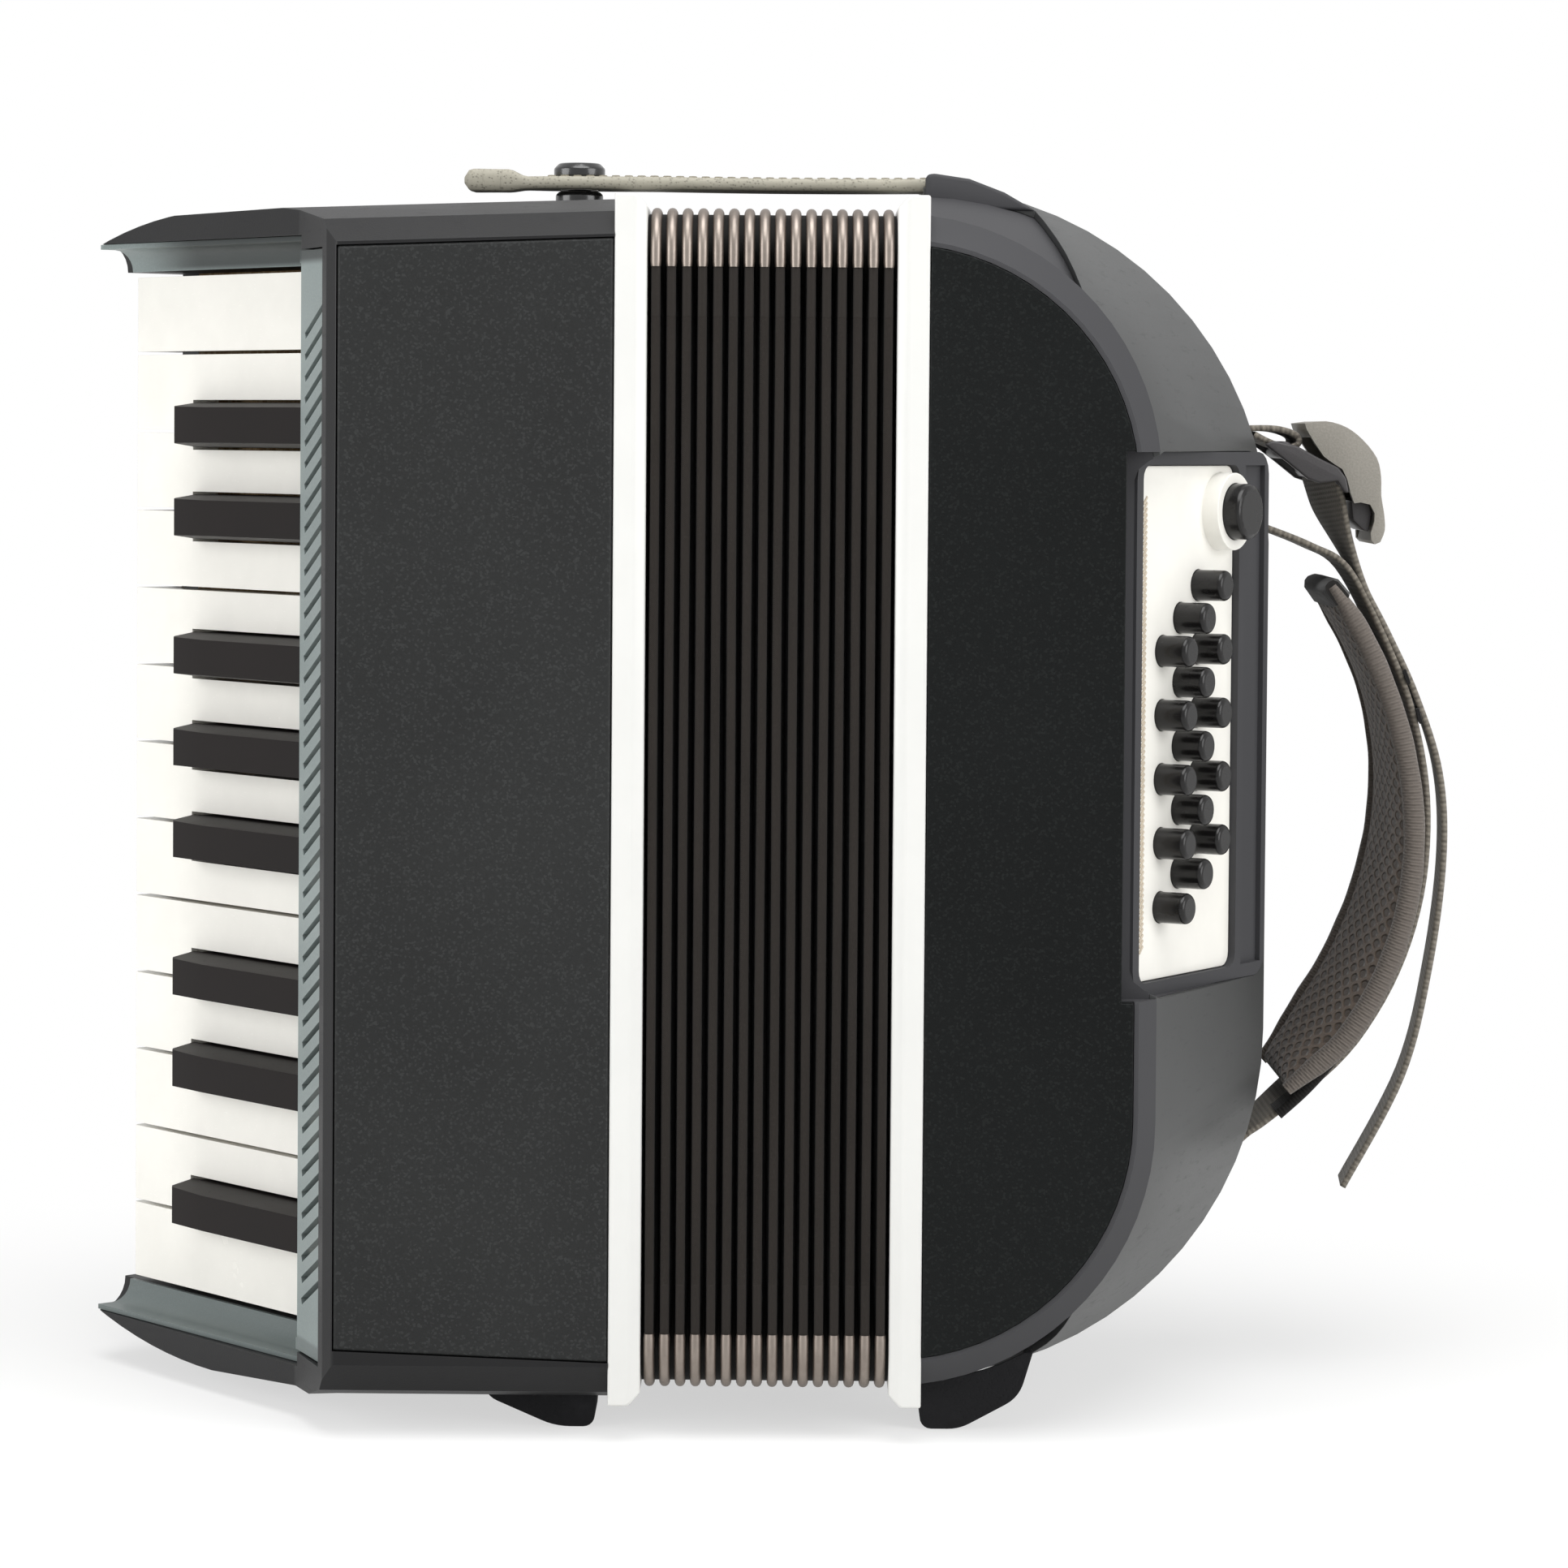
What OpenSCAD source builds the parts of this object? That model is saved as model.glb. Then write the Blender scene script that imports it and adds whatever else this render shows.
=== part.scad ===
// Piano accordion for a child: 21 piano keys, 15 bass buttons, an air button,
// a sixteen-fold bellows between two white frames, and a padded hand strap.
// Frame: X runs from the keyboard side (-) to the bass side (+), Y runs from the
// front covers (-) to the player (+), Z is up. The origin is on the floor, under
// the middle of the closed bellows and midway between front and back.

/* [Frames and bellows] */
// Height of the two white bellows frames
frame_h = 260.4; // [240:0.2:290]
// Thickness of each white frame along X
frame_t = 7; // [5:0.5:10]
// Bevel of a frame's edge towards the bellows
frame_bevel = 2.6; // [1:0.1:4]
// Width of a frame's ring, from its edge to its opening
frame_ring = 21; // [18:0.5:28]
// Number of bellows folds
folds = 16; // [12:1:18]
// Distance from one closed fold to the next
fold_pitch = 3.32; // [3.1:0.01:3.8]
// Depth of a fold, from its outer edge to its inner edge
fold_depth = 17; // [12:0.5:20]
// Width of one fold at its outer edge
fold_edge = 2.2; // [1.8:0.05:2.3]
// Thickness of a fold's card wall
fold_wall = 1; // [0.7:0.05:1.05]
// Length of a metal corner cap along each side of a fold
cap_len = 12.5; // [8:0.5:20]
// Reach of a cap over the fold, inwards
cap_reach = 4; // [2.5:0.1:4.5]
// Sheet thickness of a corner cap
cap_t = 0.3; // [0.25:0.01:0.33]

/* [Body] */
// Front of the covers, in front of the middle of the body
body_front = 70; // [64:0.5:80]
// Back of the casings, behind the middle of the body
body_back = 64; // [60:0.5:76]
// Height of the rubber feet under the frames
foot_h = 8; // [7:0.5:12]
// Wall thickness of the treble casing
wall = 3; // [2.2:0.1:4]
// Thickness of the front covers
cover_t = 3.2; // [2:0.1:3.6]
// Clearance round a cover in its recess
cover_gap = 0.15; // [0.1:0.05:0.3]

/* [Treble casing] */
// Width of the treble casing from the frame to its left lip
treble_w = 59.3; // [54:0.5:66]
// Half height of the casing's top at its left end
treble_half_left = 128.4; // [127.4:0.2:129]
// Distance from the frames' ends to the covers' ends
cover_inset = 10.4; // [9.4:0.2:12]
// Taper of the treble cover at each end
cover_taper = 1.1; // [0:0.1:1.2]
// Width of the rounded lip beside the louvre
lip_w = 2.4; // [1.8:0.1:3]
// Radius of the arched cheeks at the keyboard's ends
cheek_r = 76; // [64:1:90]
// Rise of the cheek arch over the keyboard's middle
cheek_top = 130.6; // [128:0.2:132]
// Height of the cheeks over the white keys
cheek_rise = 9.2; // [7:0.1:11]

/* [Keyboard] */
// Drop of the keyboard's middle below the frames' middle
key_drop = 2.4; // [2:0.1:3]
// Distance from one white key to the next
key_pitch = 18; // [17.4:0.1:18]
// Gap between two white keys
key_gap = 0.8; // [0.5:0.1:1.2]
// Angle of the key tops to the front of the body
key_tilt = 50; // [47:0.5:53]
// Reach of the white keys beyond the casing's left side
key_reach = 55.5; // [52:0.5:58]
// Distance of the keys' front edge behind the middle of the body
key_back = 26; // [24:0.5:28]
// Distance from a white key's front edge to the hinge rod
key_len = 100; // [98:0.5:102]
// Thickness of a key
key_t = 7; // [6:0.2:8]
// Depth of the front lip of a white key
key_lip = 12; // [10:0.2:12.4]
// Distance from a white key's front edge to the black keys
black_start = 25.6; // [22:0.2:30]
// Height of a black key over the white ones
black_h = 9; // [7:0.2:9.4]
// Width of a black key at its foot
black_w = 10.2; // [9:0.1:10.6]
// Width of a black key on top
black_top_w = 8; // [6.5:0.1:8.8]
// Radius of the hinge rod
rod_r = 1.55; // [1.2:0.05:2]
// Running clearance of the keys on the rod
rod_fit = 0.05; // [0.03:0.01:0.1]
// Louvre slots beside the keys
louvre_n = 46; // [30:1:47]
// Distance from one louvre slot to the next
louvre_pitch = 4.7; // [4.5:0.01:4.8]
// Width of a louvre slot
louvre_w = 1.5; // [1:0.1:2]
// Slant of the louvre slots
louvre_slant = 25; // [15:1:28]

/* [Bass casing] */
// Right edge of the bass cover, from the bass frame
bass_cover_w = 45.1; // [42:0.5:50]
// Corner radius of the bass cover
bass_cover_r = 52; // [44:1:60]
// Width of the bass casing, from the bass frame to its side
bass_w = 78.9; // [74:0.5:84]
// Corner radius of the bass casing
bass_r = 80; // [70:1:90]
// How far the bass casing stands out beyond the frames, above and below
bass_over = 4.9; // [3:0.1:5.8]
// Depth at which the bass casing reaches its full width
bass_full_y = 8; // [4:0.5:14]
// Thickness of the grey band round the bass casing
band_t = 1.8; // [1.4:0.1:2.4]
// Width of the dark scallop where the band starts
scallop_w = 29; // [22:0.5:36]

/* [Bass buttons] */
// Angle of the button plate to the front of the body
plate_tilt = 58; // [55:0.5:60]
// Length of the button plate up the side
plate_h = 112; // [108:0.5:116]
// Width of the button plate
plate_w = 45.7; // [44:0.1:48]
// Height of the plate's middle over the body's middle
plate_rise = 16.8; // [12:0.2:20]
// Thickness of the button plate
plate_t = 3; // [2:0.1:4]
// Width of the dark bezel round the plate
bezel = 3; // [2:0.1:4]
// Radius of a bass button
button_r = 3.4; // [2.8:0.05:3.6]
// Height of a bass button over its plate
button_out = 7.4; // [6:0.2:11]
// Stroke of a bass button
button_stroke = 4.5; // [3:0.1:5]
// Distance from one button to the next, up a column
button_pitch = 14; // [12:0.1:14.2]
// Distance from one column to the next
column_pitch = 8.3; // [8:0.1:9]
// Radius of the air button
air_r = 6.2; // [5:0.1:6.4]
// Height of the air button over the plate
air_out = 8.2; // [7:0.2:12]
// Running clearance of the buttons in the plate
button_fit = 0.08; // [0.04:0.01:0.1]

/* [Straps] */
// Width of the padded hand strap
pad_w = 46; // [38:1:52]
// Thickness of the pad
pad_t = 8; // [6:0.5:9]
// Radius of the pad's curve
pad_r = 85; // [82:0.5:90]
// Width of the webbing
web_w = 25; // [18:0.5:30]
// Thickness of the webbing
web_t = 1.4; // [1:0.1:1.8]
// Width of the bellows strap
strap_w = 16; // [12:0.5:20]
// Thickness of the bellows strap
strap_t = 2.8; // [2:0.1:3]
// Radius of the strap stud's post
stud_r = 2.5; // [2:0.1:3]

/* [Hidden] */
$fn = 48;

// Places that the pieces share
zc = foot_h + frame_h / 2;
half = frame_h / 2;
zk = zc - key_drop;
cover_half = half - cover_inset;
bass_half = half + bass_over;
yf = -body_front;
yb = body_back;
bel_half = folds * fold_pitch / 2;
xf = bel_half + 0.15;
xs = xf + frame_t;
xt = -xs;
xl = xt - treble_w;
bel_out = half - frame_bevel - cap_t - 0.1;
bel_front = body_front - 1.2;
bel_back = body_back - 1.2;

// The keyboard's own plane: u runs in from the keys' front edge, d runs into the body
kx = xl - key_reach;
ky = key_back;
rod_d = 6;
floor_d = key_lip + 5;
n_white = 13;
first_white = 6;
spread_two = 1.5;
spread_three = 3;
keys_half = n_white * key_pitch / 2;
slot_half = keys_half + 0.9;
chamber_half = slot_half - 0.8;
cove_r = 5;
liner_t = 1.2;
press = 2.6;
louvre_edge = 83.6;
function kp(u, d) = [
    kx + u * cos(key_tilt) + d * sin(key_tilt),
    ky - u * sin(key_tilt) + d * cos(key_tilt)
];
rod_at = kp(key_len, rod_d);
edge_in = kp(louvre_edge, -10.7);
edge_out = [xl - lip_w, yf + 5.2];
black_slack = 0.6;

// Points of a smooth run through chosen points
function spline(p, n) = concat(
    [for (i = [0 : len(p) - 2], k = [0 : n - 1])
        let (t = k / n,
            a = p[max(i - 1, 0)], b = p[i], c = p[i + 1], e = p[min(i + 2, len(p) - 1)])
        0.5 * (2 * b + (c - a) * t + (2 * a - 5 * b + 4 * c - e) * t * t
            + (3 * b - a - 3 * c + e) * t * t * t)],
    [p[len(p) - 1]]);
function unit(v) = v / norm(v);
function side(p, i) = let (a = p[max(i - 1, 0)], b = p[min(i + 1, len(p) - 1)],
    v = unit(b - a)) [-v[1], v[0]];
function ribbon(p, t) = concat(
    [for (i = [0 : len(p) - 1]) p[i] + side(p, i) * t / 2],
    [for (i = [len(p) - 1 : -1 : 0]) p[i] - side(p, i) * t / 2]);

// A polygon with each corner rounded by its own radius
function arc_in(a, b, c, r, n) =
    let (u = unit(a - b), v = unit(c - b), h = acos(max(-1, min(1, u * v))) / 2,
        t = r / tan(h), s = b + unit(u + v) * r / sin(h),
        p = b + u * t, q = b + v * t,
        a0 = atan2(p[1] - s[1], p[0] - s[0]), a1 = atan2(q[1] - s[1], q[0] - s[0]),
        w = a1 - a0 > 180 ? a1 - a0 - 360 : a1 - a0 < -180 ? a1 - a0 + 360 : a1 - a0)
    [for (k = [0 : n]) s + r * [cos(a0 + w * k / n), sin(a0 + w * k / n)]];
function rounded(p, r, n = 6) = [for (i = [0 : len(p) - 1])
    each r[i] <= 0 ? [p[i]]
        : arc_in(p[(i + len(p) - 1) % len(p)], p[i], p[(i + 1) % len(p)], r[i], n)];

module on_keys() {
    translate([kx, ky, 0])
        rotate([0, 0, -key_tilt])
            children();
}

// An outline in X and Z, given height along Y from one depth to another
module along_y(y0, y1) {
    translate([0, y1, 0])
        rotate([90, 0, 0])
            linear_extrude(y1 - y0)
                children();
}

// An outline in Y and Z, given length along X
module along_x(x0, x1) {
    translate([x0, 0, 0])
        rotate([90, 0, 90])
            linear_extrude(x1 - x0)
                children();
}

module tall(h, mid = zc) {
    translate([0, 0, mid - h])
        linear_extrude(2 * h)
            children();
}

// ---------------------------------------------------------------- frames, bellows

module frame_ring_at(s) {
    color("white")
        difference() {
            intersection() {
                along_y(yf - 1, yb + 1)
                    polygon([
                        [s * xs, zc - half], [s * (xf + frame_bevel), zc - half],
                        [s * xf, zc - half + frame_bevel], [s * xf, zc + half - frame_bevel],
                        [s * (xf + frame_bevel), zc + half], [s * xs, zc + half]
                    ]);
                tall(half + 1)
                    polygon([
                        [s * xs, yf], [s * (xf + frame_bevel), yf],
                        [s * xf, yf + frame_bevel / 2], [s * xf, yb - frame_bevel / 2],
                        [s * (xf + frame_bevel), yb], [s * xs, yb]
                    ]);
            }
            translate([s > 0 ? xf - 1 : -xs - 1, yf + frame_ring, zc - half + frame_ring])
                cube([frame_t + 2, yb - yf - 2 * frame_ring, frame_h - 2 * frame_ring]);
        }
}

module treble_frame() { frame_ring_at(-1); }
module bass_frame() { frame_ring_at(1); }

// One side of the folded wall: v(x) at the outer edge of every fold
function pleat(o, sgn) = [for (i = [0 : folds - 1])
    let (a = -bel_half + i * fold_pitch, m = (fold_pitch - fold_edge) / 2)
    each [
        [a + 0.16, sgn * (o - fold_depth + fold_wall)], [a + m, sgn * (o - 0.5)],
        [a + m + 0.5, sgn * o],
        [a + fold_pitch - m - 0.5, sgn * o], [a + fold_pitch - m, sgn * (o - 0.5)],
        [a + fold_pitch - 0.16, sgn * (o - fold_depth + fold_wall)]
    ]];
function tooth(o, sgn) = [for (i = [0 : folds - 1])
    let (a = -bel_half + (i + 0.5) * fold_pitch, w = fold_pitch / 2 - fold_wall * 0.55)
    each [
        [a - w, sgn * (o - fold_depth)], [a - 0.12, sgn * (o - fold_wall)],
        [a + 0.12, sgn * (o - fold_wall)], [a + w, sgn * (o - fold_depth)]
    ]];
function flip(p) = [for (i = [len(p) - 1 : -1 : 0]) p[i]];
function shift(p, d) = [for (q = p) q + [0, d]];

module folded(f) {
    intersection() {
        along_y(-bel_front - 1, bel_back + 1)
            polygon(concat(shift(f == 0 ? pleat(bel_out, 1) : tooth(bel_out, 1), zc),
                shift(flip(f == 0 ? pleat(bel_out, -1) : tooth(bel_out, -1)), zc)));
        tall(half + 1)
            polygon(concat(f == 0 ? pleat(bel_back, 1) : tooth(bel_back, 1),
                flip(f == 0 ? pleat(bel_front, -1) : tooth(bel_front, -1))));
    }
}

module bellows_folds() {
    color([0.10, 0.08, 0.07])
        difference() {
            folded(0);
            folded(1);
            along_y(-bel_front + fold_depth, bel_back - fold_depth)
                translate([-bel_half - 1, zc - bel_out + fold_depth])
                    square([2 * bel_half + 2, 2 * (bel_out - fold_depth)]);
        }
}

// A metal cap folded over one corner of one fold
module corner_cap(mid, wide, g, sy, sz) {
    edge = sy < 0 ? -bel_front : bel_back;
    translate([mid - wide / 2, edge, zc + sz * bel_out])
        mirror([0, sy > 0 ? 1 : 0, 0])
            mirror([0, 0, sz < 0 ? 1 : 0])
                translate([0, -cap_t - g, cap_t + g])
                    along_x(0, wide)
                        polygon(rounded([[0, 0], [cap_len, 0], [cap_len, -cap_reach],
                            [cap_reach, -cap_reach], [cap_reach, -cap_len],
                            [0, -cap_len]], [2.2, 0, 0, 0, 0, 0], 4));
}
module cap_core(mid, g) {
    lean = (fold_pitch - 0.32 - fold_edge) / 2 * (cap_reach + 0.5) / (fold_depth - fold_wall - 0.5);
    e = fold_edge / 2 + g;
    intersection() {
        along_y(-bel_front - g, bel_back + g)
            polygon([[mid - e - lean, zc - bel_out + cap_reach + 0.5], [mid - e, zc - bel_out - g],
                [mid + e, zc - bel_out - g], [mid + e + lean, zc - bel_out + cap_reach + 0.5],
                [mid + e + lean, zc + bel_out - cap_reach - 0.5], [mid + e, zc + bel_out + g],
                [mid - e, zc + bel_out + g], [mid - e - lean, zc + bel_out - cap_reach - 0.5]]);
        tall(half + 1)
            polygon([[mid - e - lean, -bel_front + cap_reach + 0.5], [mid - e, -bel_front - g],
                [mid + e, -bel_front - g], [mid + e + lean, -bel_front + cap_reach + 0.5],
                [mid + e + lean, bel_back - cap_reach - 0.5], [mid + e, bel_back + g],
                [mid - e, bel_back + g], [mid - e - lean, bel_back - cap_reach - 0.5]]);
    }
}
module bellows_corners() {
    color([0.75, 0.7, 0.64])
        for (i = [0 : folds - 1]) {
            g = 0.04;
            mid = -bel_half + (i + 0.5) * fold_pitch;
            wide = fold_edge + 2 * (cap_t + g) + 0.22;
            difference() {
                for (sy = [-1, 1], sz = [-1, 1])
                    corner_cap(mid, wide, g, sy, sz);
                cap_core(mid, g);
            }
        }
}

// ---------------------------------------------------------------- treble casing

crest_x = (kp(0, 0)[0] + xl) / 2 - 4;
function cheek_z(x) = cheek_top - cheek_r
    + sqrt(max(0, cheek_r * cheek_r - pow(x - crest_x, 2)));
tip_x = kp(-2.5, -cheek_rise)[0] - 4.5;
function cheek(s) = [for (k = [0 : 9]) let (x = crest_x + (tip_x - crest_x) * k / 9)
    [x, zk + s * cheek_z(x)]];

module treble_profile() {
    polygon(concat([[xt, zc + half], [xl, zc + treble_half_left]], cheek(1),
        flip(cheek(-1)), [[xl, zc - half + 0.2], [xt, zc - half]]));
}

module treble_plan() {
    polygon(rounded([
        [xt, yf], [xl, yf], [xl - lip_w, yf + 3], kp(louvre_edge + 0.4, -10.7 - 0.6),
        kp(-2.5, -cheek_rise), kp(-5.5, 2), kp(-6, 14), kp(-8, 38),
        [xl - 22, yb], [xt, yb]
    ], [0, 1.2, 2, 5, 1.2, 8, 14, 8, 5, 0], 5));
}

// Section of the casing: the top falls away by f towards the keyboard
function treble_sides(f) = [
    [yf, zc - cover_half - 1.9], [yf + 5, zc - half + 2.2], [yf + 30, zc - half - 5.4],
    [yb - 13, zc - half - 5.4], [yb, zc - half + 6], [yb, zc + half - 6 - f],
    [yb - 9, zc + half + 1.8 - f], [yf + 30, zc + half + 0.2 - f],
    [yf + 5, zc + half - 3.6 - f], [yf, zc + cover_half + 1.7 - f]
];

module treble_outer() {
    intersection() {
        tall(half + 4)
            treble_plan();
        along_y(yf - 1, yb + 1)
            treble_profile();
        hull() {
            along_x(tip_x - 1.1, tip_x - 1)
                polygon(treble_sides(4.55));
            along_x(xt + 1, xt + 1.1)
                polygon(treble_sides(0));
        }
    }
}

// The trough over the keys, with a cove along each cheek
module trough(zh, r, d0, d1) {
    polygon(rounded([[d1, zk - zh], [d0, zk - zh], [d0, zk + zh], [d1, zk + zh]],
        [0, r, r, 0], 6));
}

module louvre_opening(g) {
    polygon([
        edge_out + [0.1 + g, 1 - g], [xl - 60, edge_out[1] + 1 - g], kp(louvre_edge - 22, -60),
        kp(louvre_edge - g, -30), kp(louvre_edge - g, 1), kp(key_len - 2, 4),
        [xl + 12, yf + 20], [xl + 2, yf + cover_t + wall]
    ]);
}

// Outline of the treble cover and its seat, g inside the seat
function cover_outline(g, over = 0) = let (t = cover_taper, w = t + 2 * t * over / treble_w) [
    [xl + g, zc - cover_half + t + g], [xt - g + over, zc - cover_half - w + g],
    [xt - g + over, zc + cover_half + w - g], [xl + g, zc + cover_half - t - g]
];

module treble_casing() {
    color([0.21, 0.21, 0.21])
        difference() {
            treble_outer();
            // seat of the cover and the opening behind it
            along_y(yf - 1, yf + cover_t)
                polygon(cover_outline(0, 1.5));
            translate([xl + wall, yf, zc - cover_half + 4])
                cube([treble_w + 1, 8, 2 * cover_half - 8]);
            // sound chamber, open to the bellows
            tall(chamber_half, zk)
                polygon([
                    [xt + 1, yf + cover_t + wall], [xl + 2, yf + cover_t + wall],
                    kp(key_len, 0), kp(key_len - 8, floor_d),
                    kp(key_len - 8, floor_d + wall), kp(2, floor_d + wall),
                    kp(-2, floor_d + wall + 4), kp(-4.5, 36), [xl - 20, yb - wall],
                    [xt + 1, yb - wall]
                ]);
            // bay of the keys
            on_keys()
                translate([-12, -30, zk - slot_half])
                    cube([louvre_edge + 12, floor_d + 30, 2 * slot_half]);
            on_keys()
                translate([-12, 0, zk - slot_half])
                    cube([key_len + 22, floor_d, 2 * slot_half]);
            // coves of the cheeks
            on_keys()
                along_x(-12, louvre_edge + 1.6)
                    trough(slot_half + cove_r + liner_t, cove_r + liner_t, liner_t, -30);
            // opening of the louvre
            tall(slot_half + 3, zk)
                louvre_opening(0);
            // seats of the hinge rod
            translate([rod_at[0], rod_at[1], zk - slot_half - 4])
                cylinder(r = rod_r + 0.02, h = 2 * slot_half + 8);
        }
}

module treble_cover() {
    color([0.2, 0.21, 0.21])
        hull() {
            along_y(yf + 0.5, yf + cover_t)
                polygon(cover_outline(cover_gap));
            along_y(yf, yf + 0.1)
                polygon(cover_outline(cover_gap + 0.5));
        }
}

// Grey surround: louvred strip beside the keys and the two coved ends
module louvre_strip(zh) {
    in = [cos(key_tilt) * 0.2 + 0.9, 0.45];
    tall(zh, zk)
        polygon([
            edge_out + [0.15, 1.04], edge_in, edge_in + in * 1.7,
            edge_out + [1.9, 1.04]
        ]);
}

module keyboard_surround() {
    run = edge_in - edge_out;
    tilt = atan2(run[0], run[1]);
    color([0.56, 0.6, 0.59])
        difference() {
            union() {
                louvre_strip(slot_half + 2.7);
                on_keys()
                    difference() {
                        along_x(-1.2, louvre_edge + 1.4)
                            trough(slot_half + cove_r + liner_t - 0.1,
                                cove_r + liner_t - 0.1, liner_t - 0.1, -cheek_rise + 0.4);
                        along_x(-3, louvre_edge)
                            trough(slot_half + cove_r, cove_r, 0, -30);
                        translate([-3, -30, zk - slot_half])
                            cube([louvre_edge + 10, 40, 2 * slot_half]);
                    }
                // webs that join the strip to the coves
                for (s = [-1, 1])
                    on_keys()
                        translate([louvre_edge - 0.2, -10.9,
                            zk + s * (slot_half + 1.34) - 1.3])
                            cube([1.6, 11.5, 2.6]);
            }
            for (k = [0 : louvre_n - 1])
                translate([edge_out[0], edge_out[1],
                    zk + (k - (louvre_n - 1) / 2) * louvre_pitch])
                    rotate([0, 0, -tilt])
                        rotate([-louvre_slant, 0, 0])
                            translate([-2, -1, -louvre_w / 2 + 4.2])
                                cube([8, norm(run) - 2.4, louvre_w]);
            // the keys' own bay stays free
            on_keys()
                translate([-3, -9.6, zk - slot_half])
                    cube([louvre_edge + 3.9, 30, 2 * slot_half]);
        }
}

module key_bed() {
    color([0.62, 0.5, 0.36])
        on_keys()
            translate([6, floor_d - 3.4, zk - slot_half + 0.1])
                cube([66, 3.4, 2 * slot_half - 0.2]);
}

module key_rod() {
    color([0.75, 0.75, 0.76])
        translate([rod_at[0], rod_at[1], zk - slot_half - 3.8])
            cylinder(r = rod_r, h = 2 * slot_half + 7.6);
}

// ---------------------------------------------------------------- keys

function white_name(i) = (first_white + i) % 7;
function black_after(i) = i >= 0 && i < n_white - 1 && white_name(i) != 2
    && white_name(i) != 6;
function black_shift(i) = [spread_two, -spread_two, 0, spread_three, 0,
    -spread_three, 0][white_name(i)];
function white_z(i) = zk + keys_half - (i + 0.5) * key_pitch;
function black_z(i) = zk + keys_half - (i + 1) * key_pitch + black_shift(i);
blacks = [for (i = [0 : n_white - 2]) if (black_after(i)) i];
function tail_top(i) = black_after(i - 1) ? black_z(i - 1) - black_w / 2 - black_slack
    : white_z(i) + key_pitch / 2 - key_gap / 2;
function tail_low(i) = black_after(i) ? black_z(i) + black_w / 2 + black_slack
    : white_z(i) - key_pitch / 2 + key_gap / 2;
pallet_w = 8;

module key_tail(u0, z0, z1) {
    translate([0, 0, z0])
        linear_extrude(z1 - z0)
            polygon([
                [u0, 0], [key_len - 6, 0], [key_len + 1, rod_d - 4.4],
                [key_len + 4, rod_d - 2], [key_len + 4, rod_d + 3],
                [key_len + 1, rod_d + 4.4], [key_len - 6, rod_d + 3.6],
                [key_len - 14, key_t], [u0, key_t]
            ]);
}

// Lever arm and felted pallet beyond the hinge rod
module key_arm(z0, z1) {
    m = (z0 + z1) / 2;
    seat = yf + 28.2;
    difference() {
        union() {
            translate([0, 0, m - 2.5])
                linear_extrude(5)
                    polygon([
                        rod_at + [-1, -2.4], rod_at + [12, -2.4],
                        [xt - 9, seat - 7.4], [xt - 9, seat - 3.2],
                        [xt - 24, seat - 3.2], rod_at + [4, 2.4], rod_at + [-1, 2.4]
                    ]);
            translate([xt - 26, seat - 3.2, m - pallet_w / 2])
                cube([18, 3, pallet_w]);
        }
        translate([rod_at[0], rod_at[1], z0 - 1])
            cylinder(r = rod_r + rod_fit, h = z1 - z0 + 2);
    }
}

module rod_bore(z0, z1) {
    translate([rod_at[0], rod_at[1], z0 - 1])
        cylinder(r = rod_r + rod_fit, h = z1 - z0 + 2);
}

module white_key(i) {
    z0 = tail_low(i);
    z1 = tail_top(i);
    wide = key_pitch - key_gap;
    color([0.96, 0.95, 0.92])
        difference() {
            union() {
                on_keys()
                    union() {
                        key_tail(black_start - 1.4, z0, z1);
                        translate([0, 0, white_z(i) - wide / 2])
                            linear_extrude(wide)
                                polygon([
                                    [0, 1.3], [0.4, 0.4], [1.3, 0],
                                    [black_start - 1.2, 0], [black_start - 1.2, key_t],
                                    [2.6, key_t], [2.6, key_lip], [0, key_lip]
                                ]);
                    }
                key_arm(z0, z1);
            }
            rod_bore(z0, z1);
        }
}

module black_key(k) {
    i = blacks[k];
    z = black_z(i);
    z0 = z - black_w / 2;
    z1 = z + black_w / 2;
    color([0.13, 0.12, 0.12])
        difference() {
            union() {
                on_keys()
                    intersection() {
                        union() {
                            key_tail(black_start + 3, z0, z1);
                            translate([0, 0, z0])
                                linear_extrude(black_w)
                                    polygon([
                                        [black_start, 0.1], [black_start + 1.6, 2.2 - black_h],
                                        [black_start + 3, 1.2 - black_h],
                                        [black_start + 17, -black_h],
                                        [louvre_edge + 1.6, -black_h],
                                        [louvre_edge + 2.4, 0.1]
                                    ]);
                        }
                        along_x(black_start - 1, key_len + 6)
                            polygon([
                                [rod_d + 6, z0], [0, z0], [-black_h, z - black_top_w / 2],
                                [-black_h, z + black_top_w / 2], [0, z1], [rod_d + 6, z1]
                            ]);
                    }
                key_arm(z0, z1);
            }
            rod_bore(z0, z1);
        }
}

// ---------------------------------------------------------------- reeds

module reed_block(x0, x1, y0, y1, zh, cells) {
    gap = 2 * zh / cells;
    difference() {
        translate([x0, y0, zc - zh])
            cube([x1 - x0, y1 - y0, 2 * zh]);
        for (k = [0 : cells - 1], s = [0, 1])
            translate([s == 0 ? x0 - 1 : (x0 + x1) / 2 + 1, y0 + 4, zc - zh + k * gap + 1.5])
                cube([(x1 - x0) / 2, y1 - y0 - 8, gap - 3]);
    }
}

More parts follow.
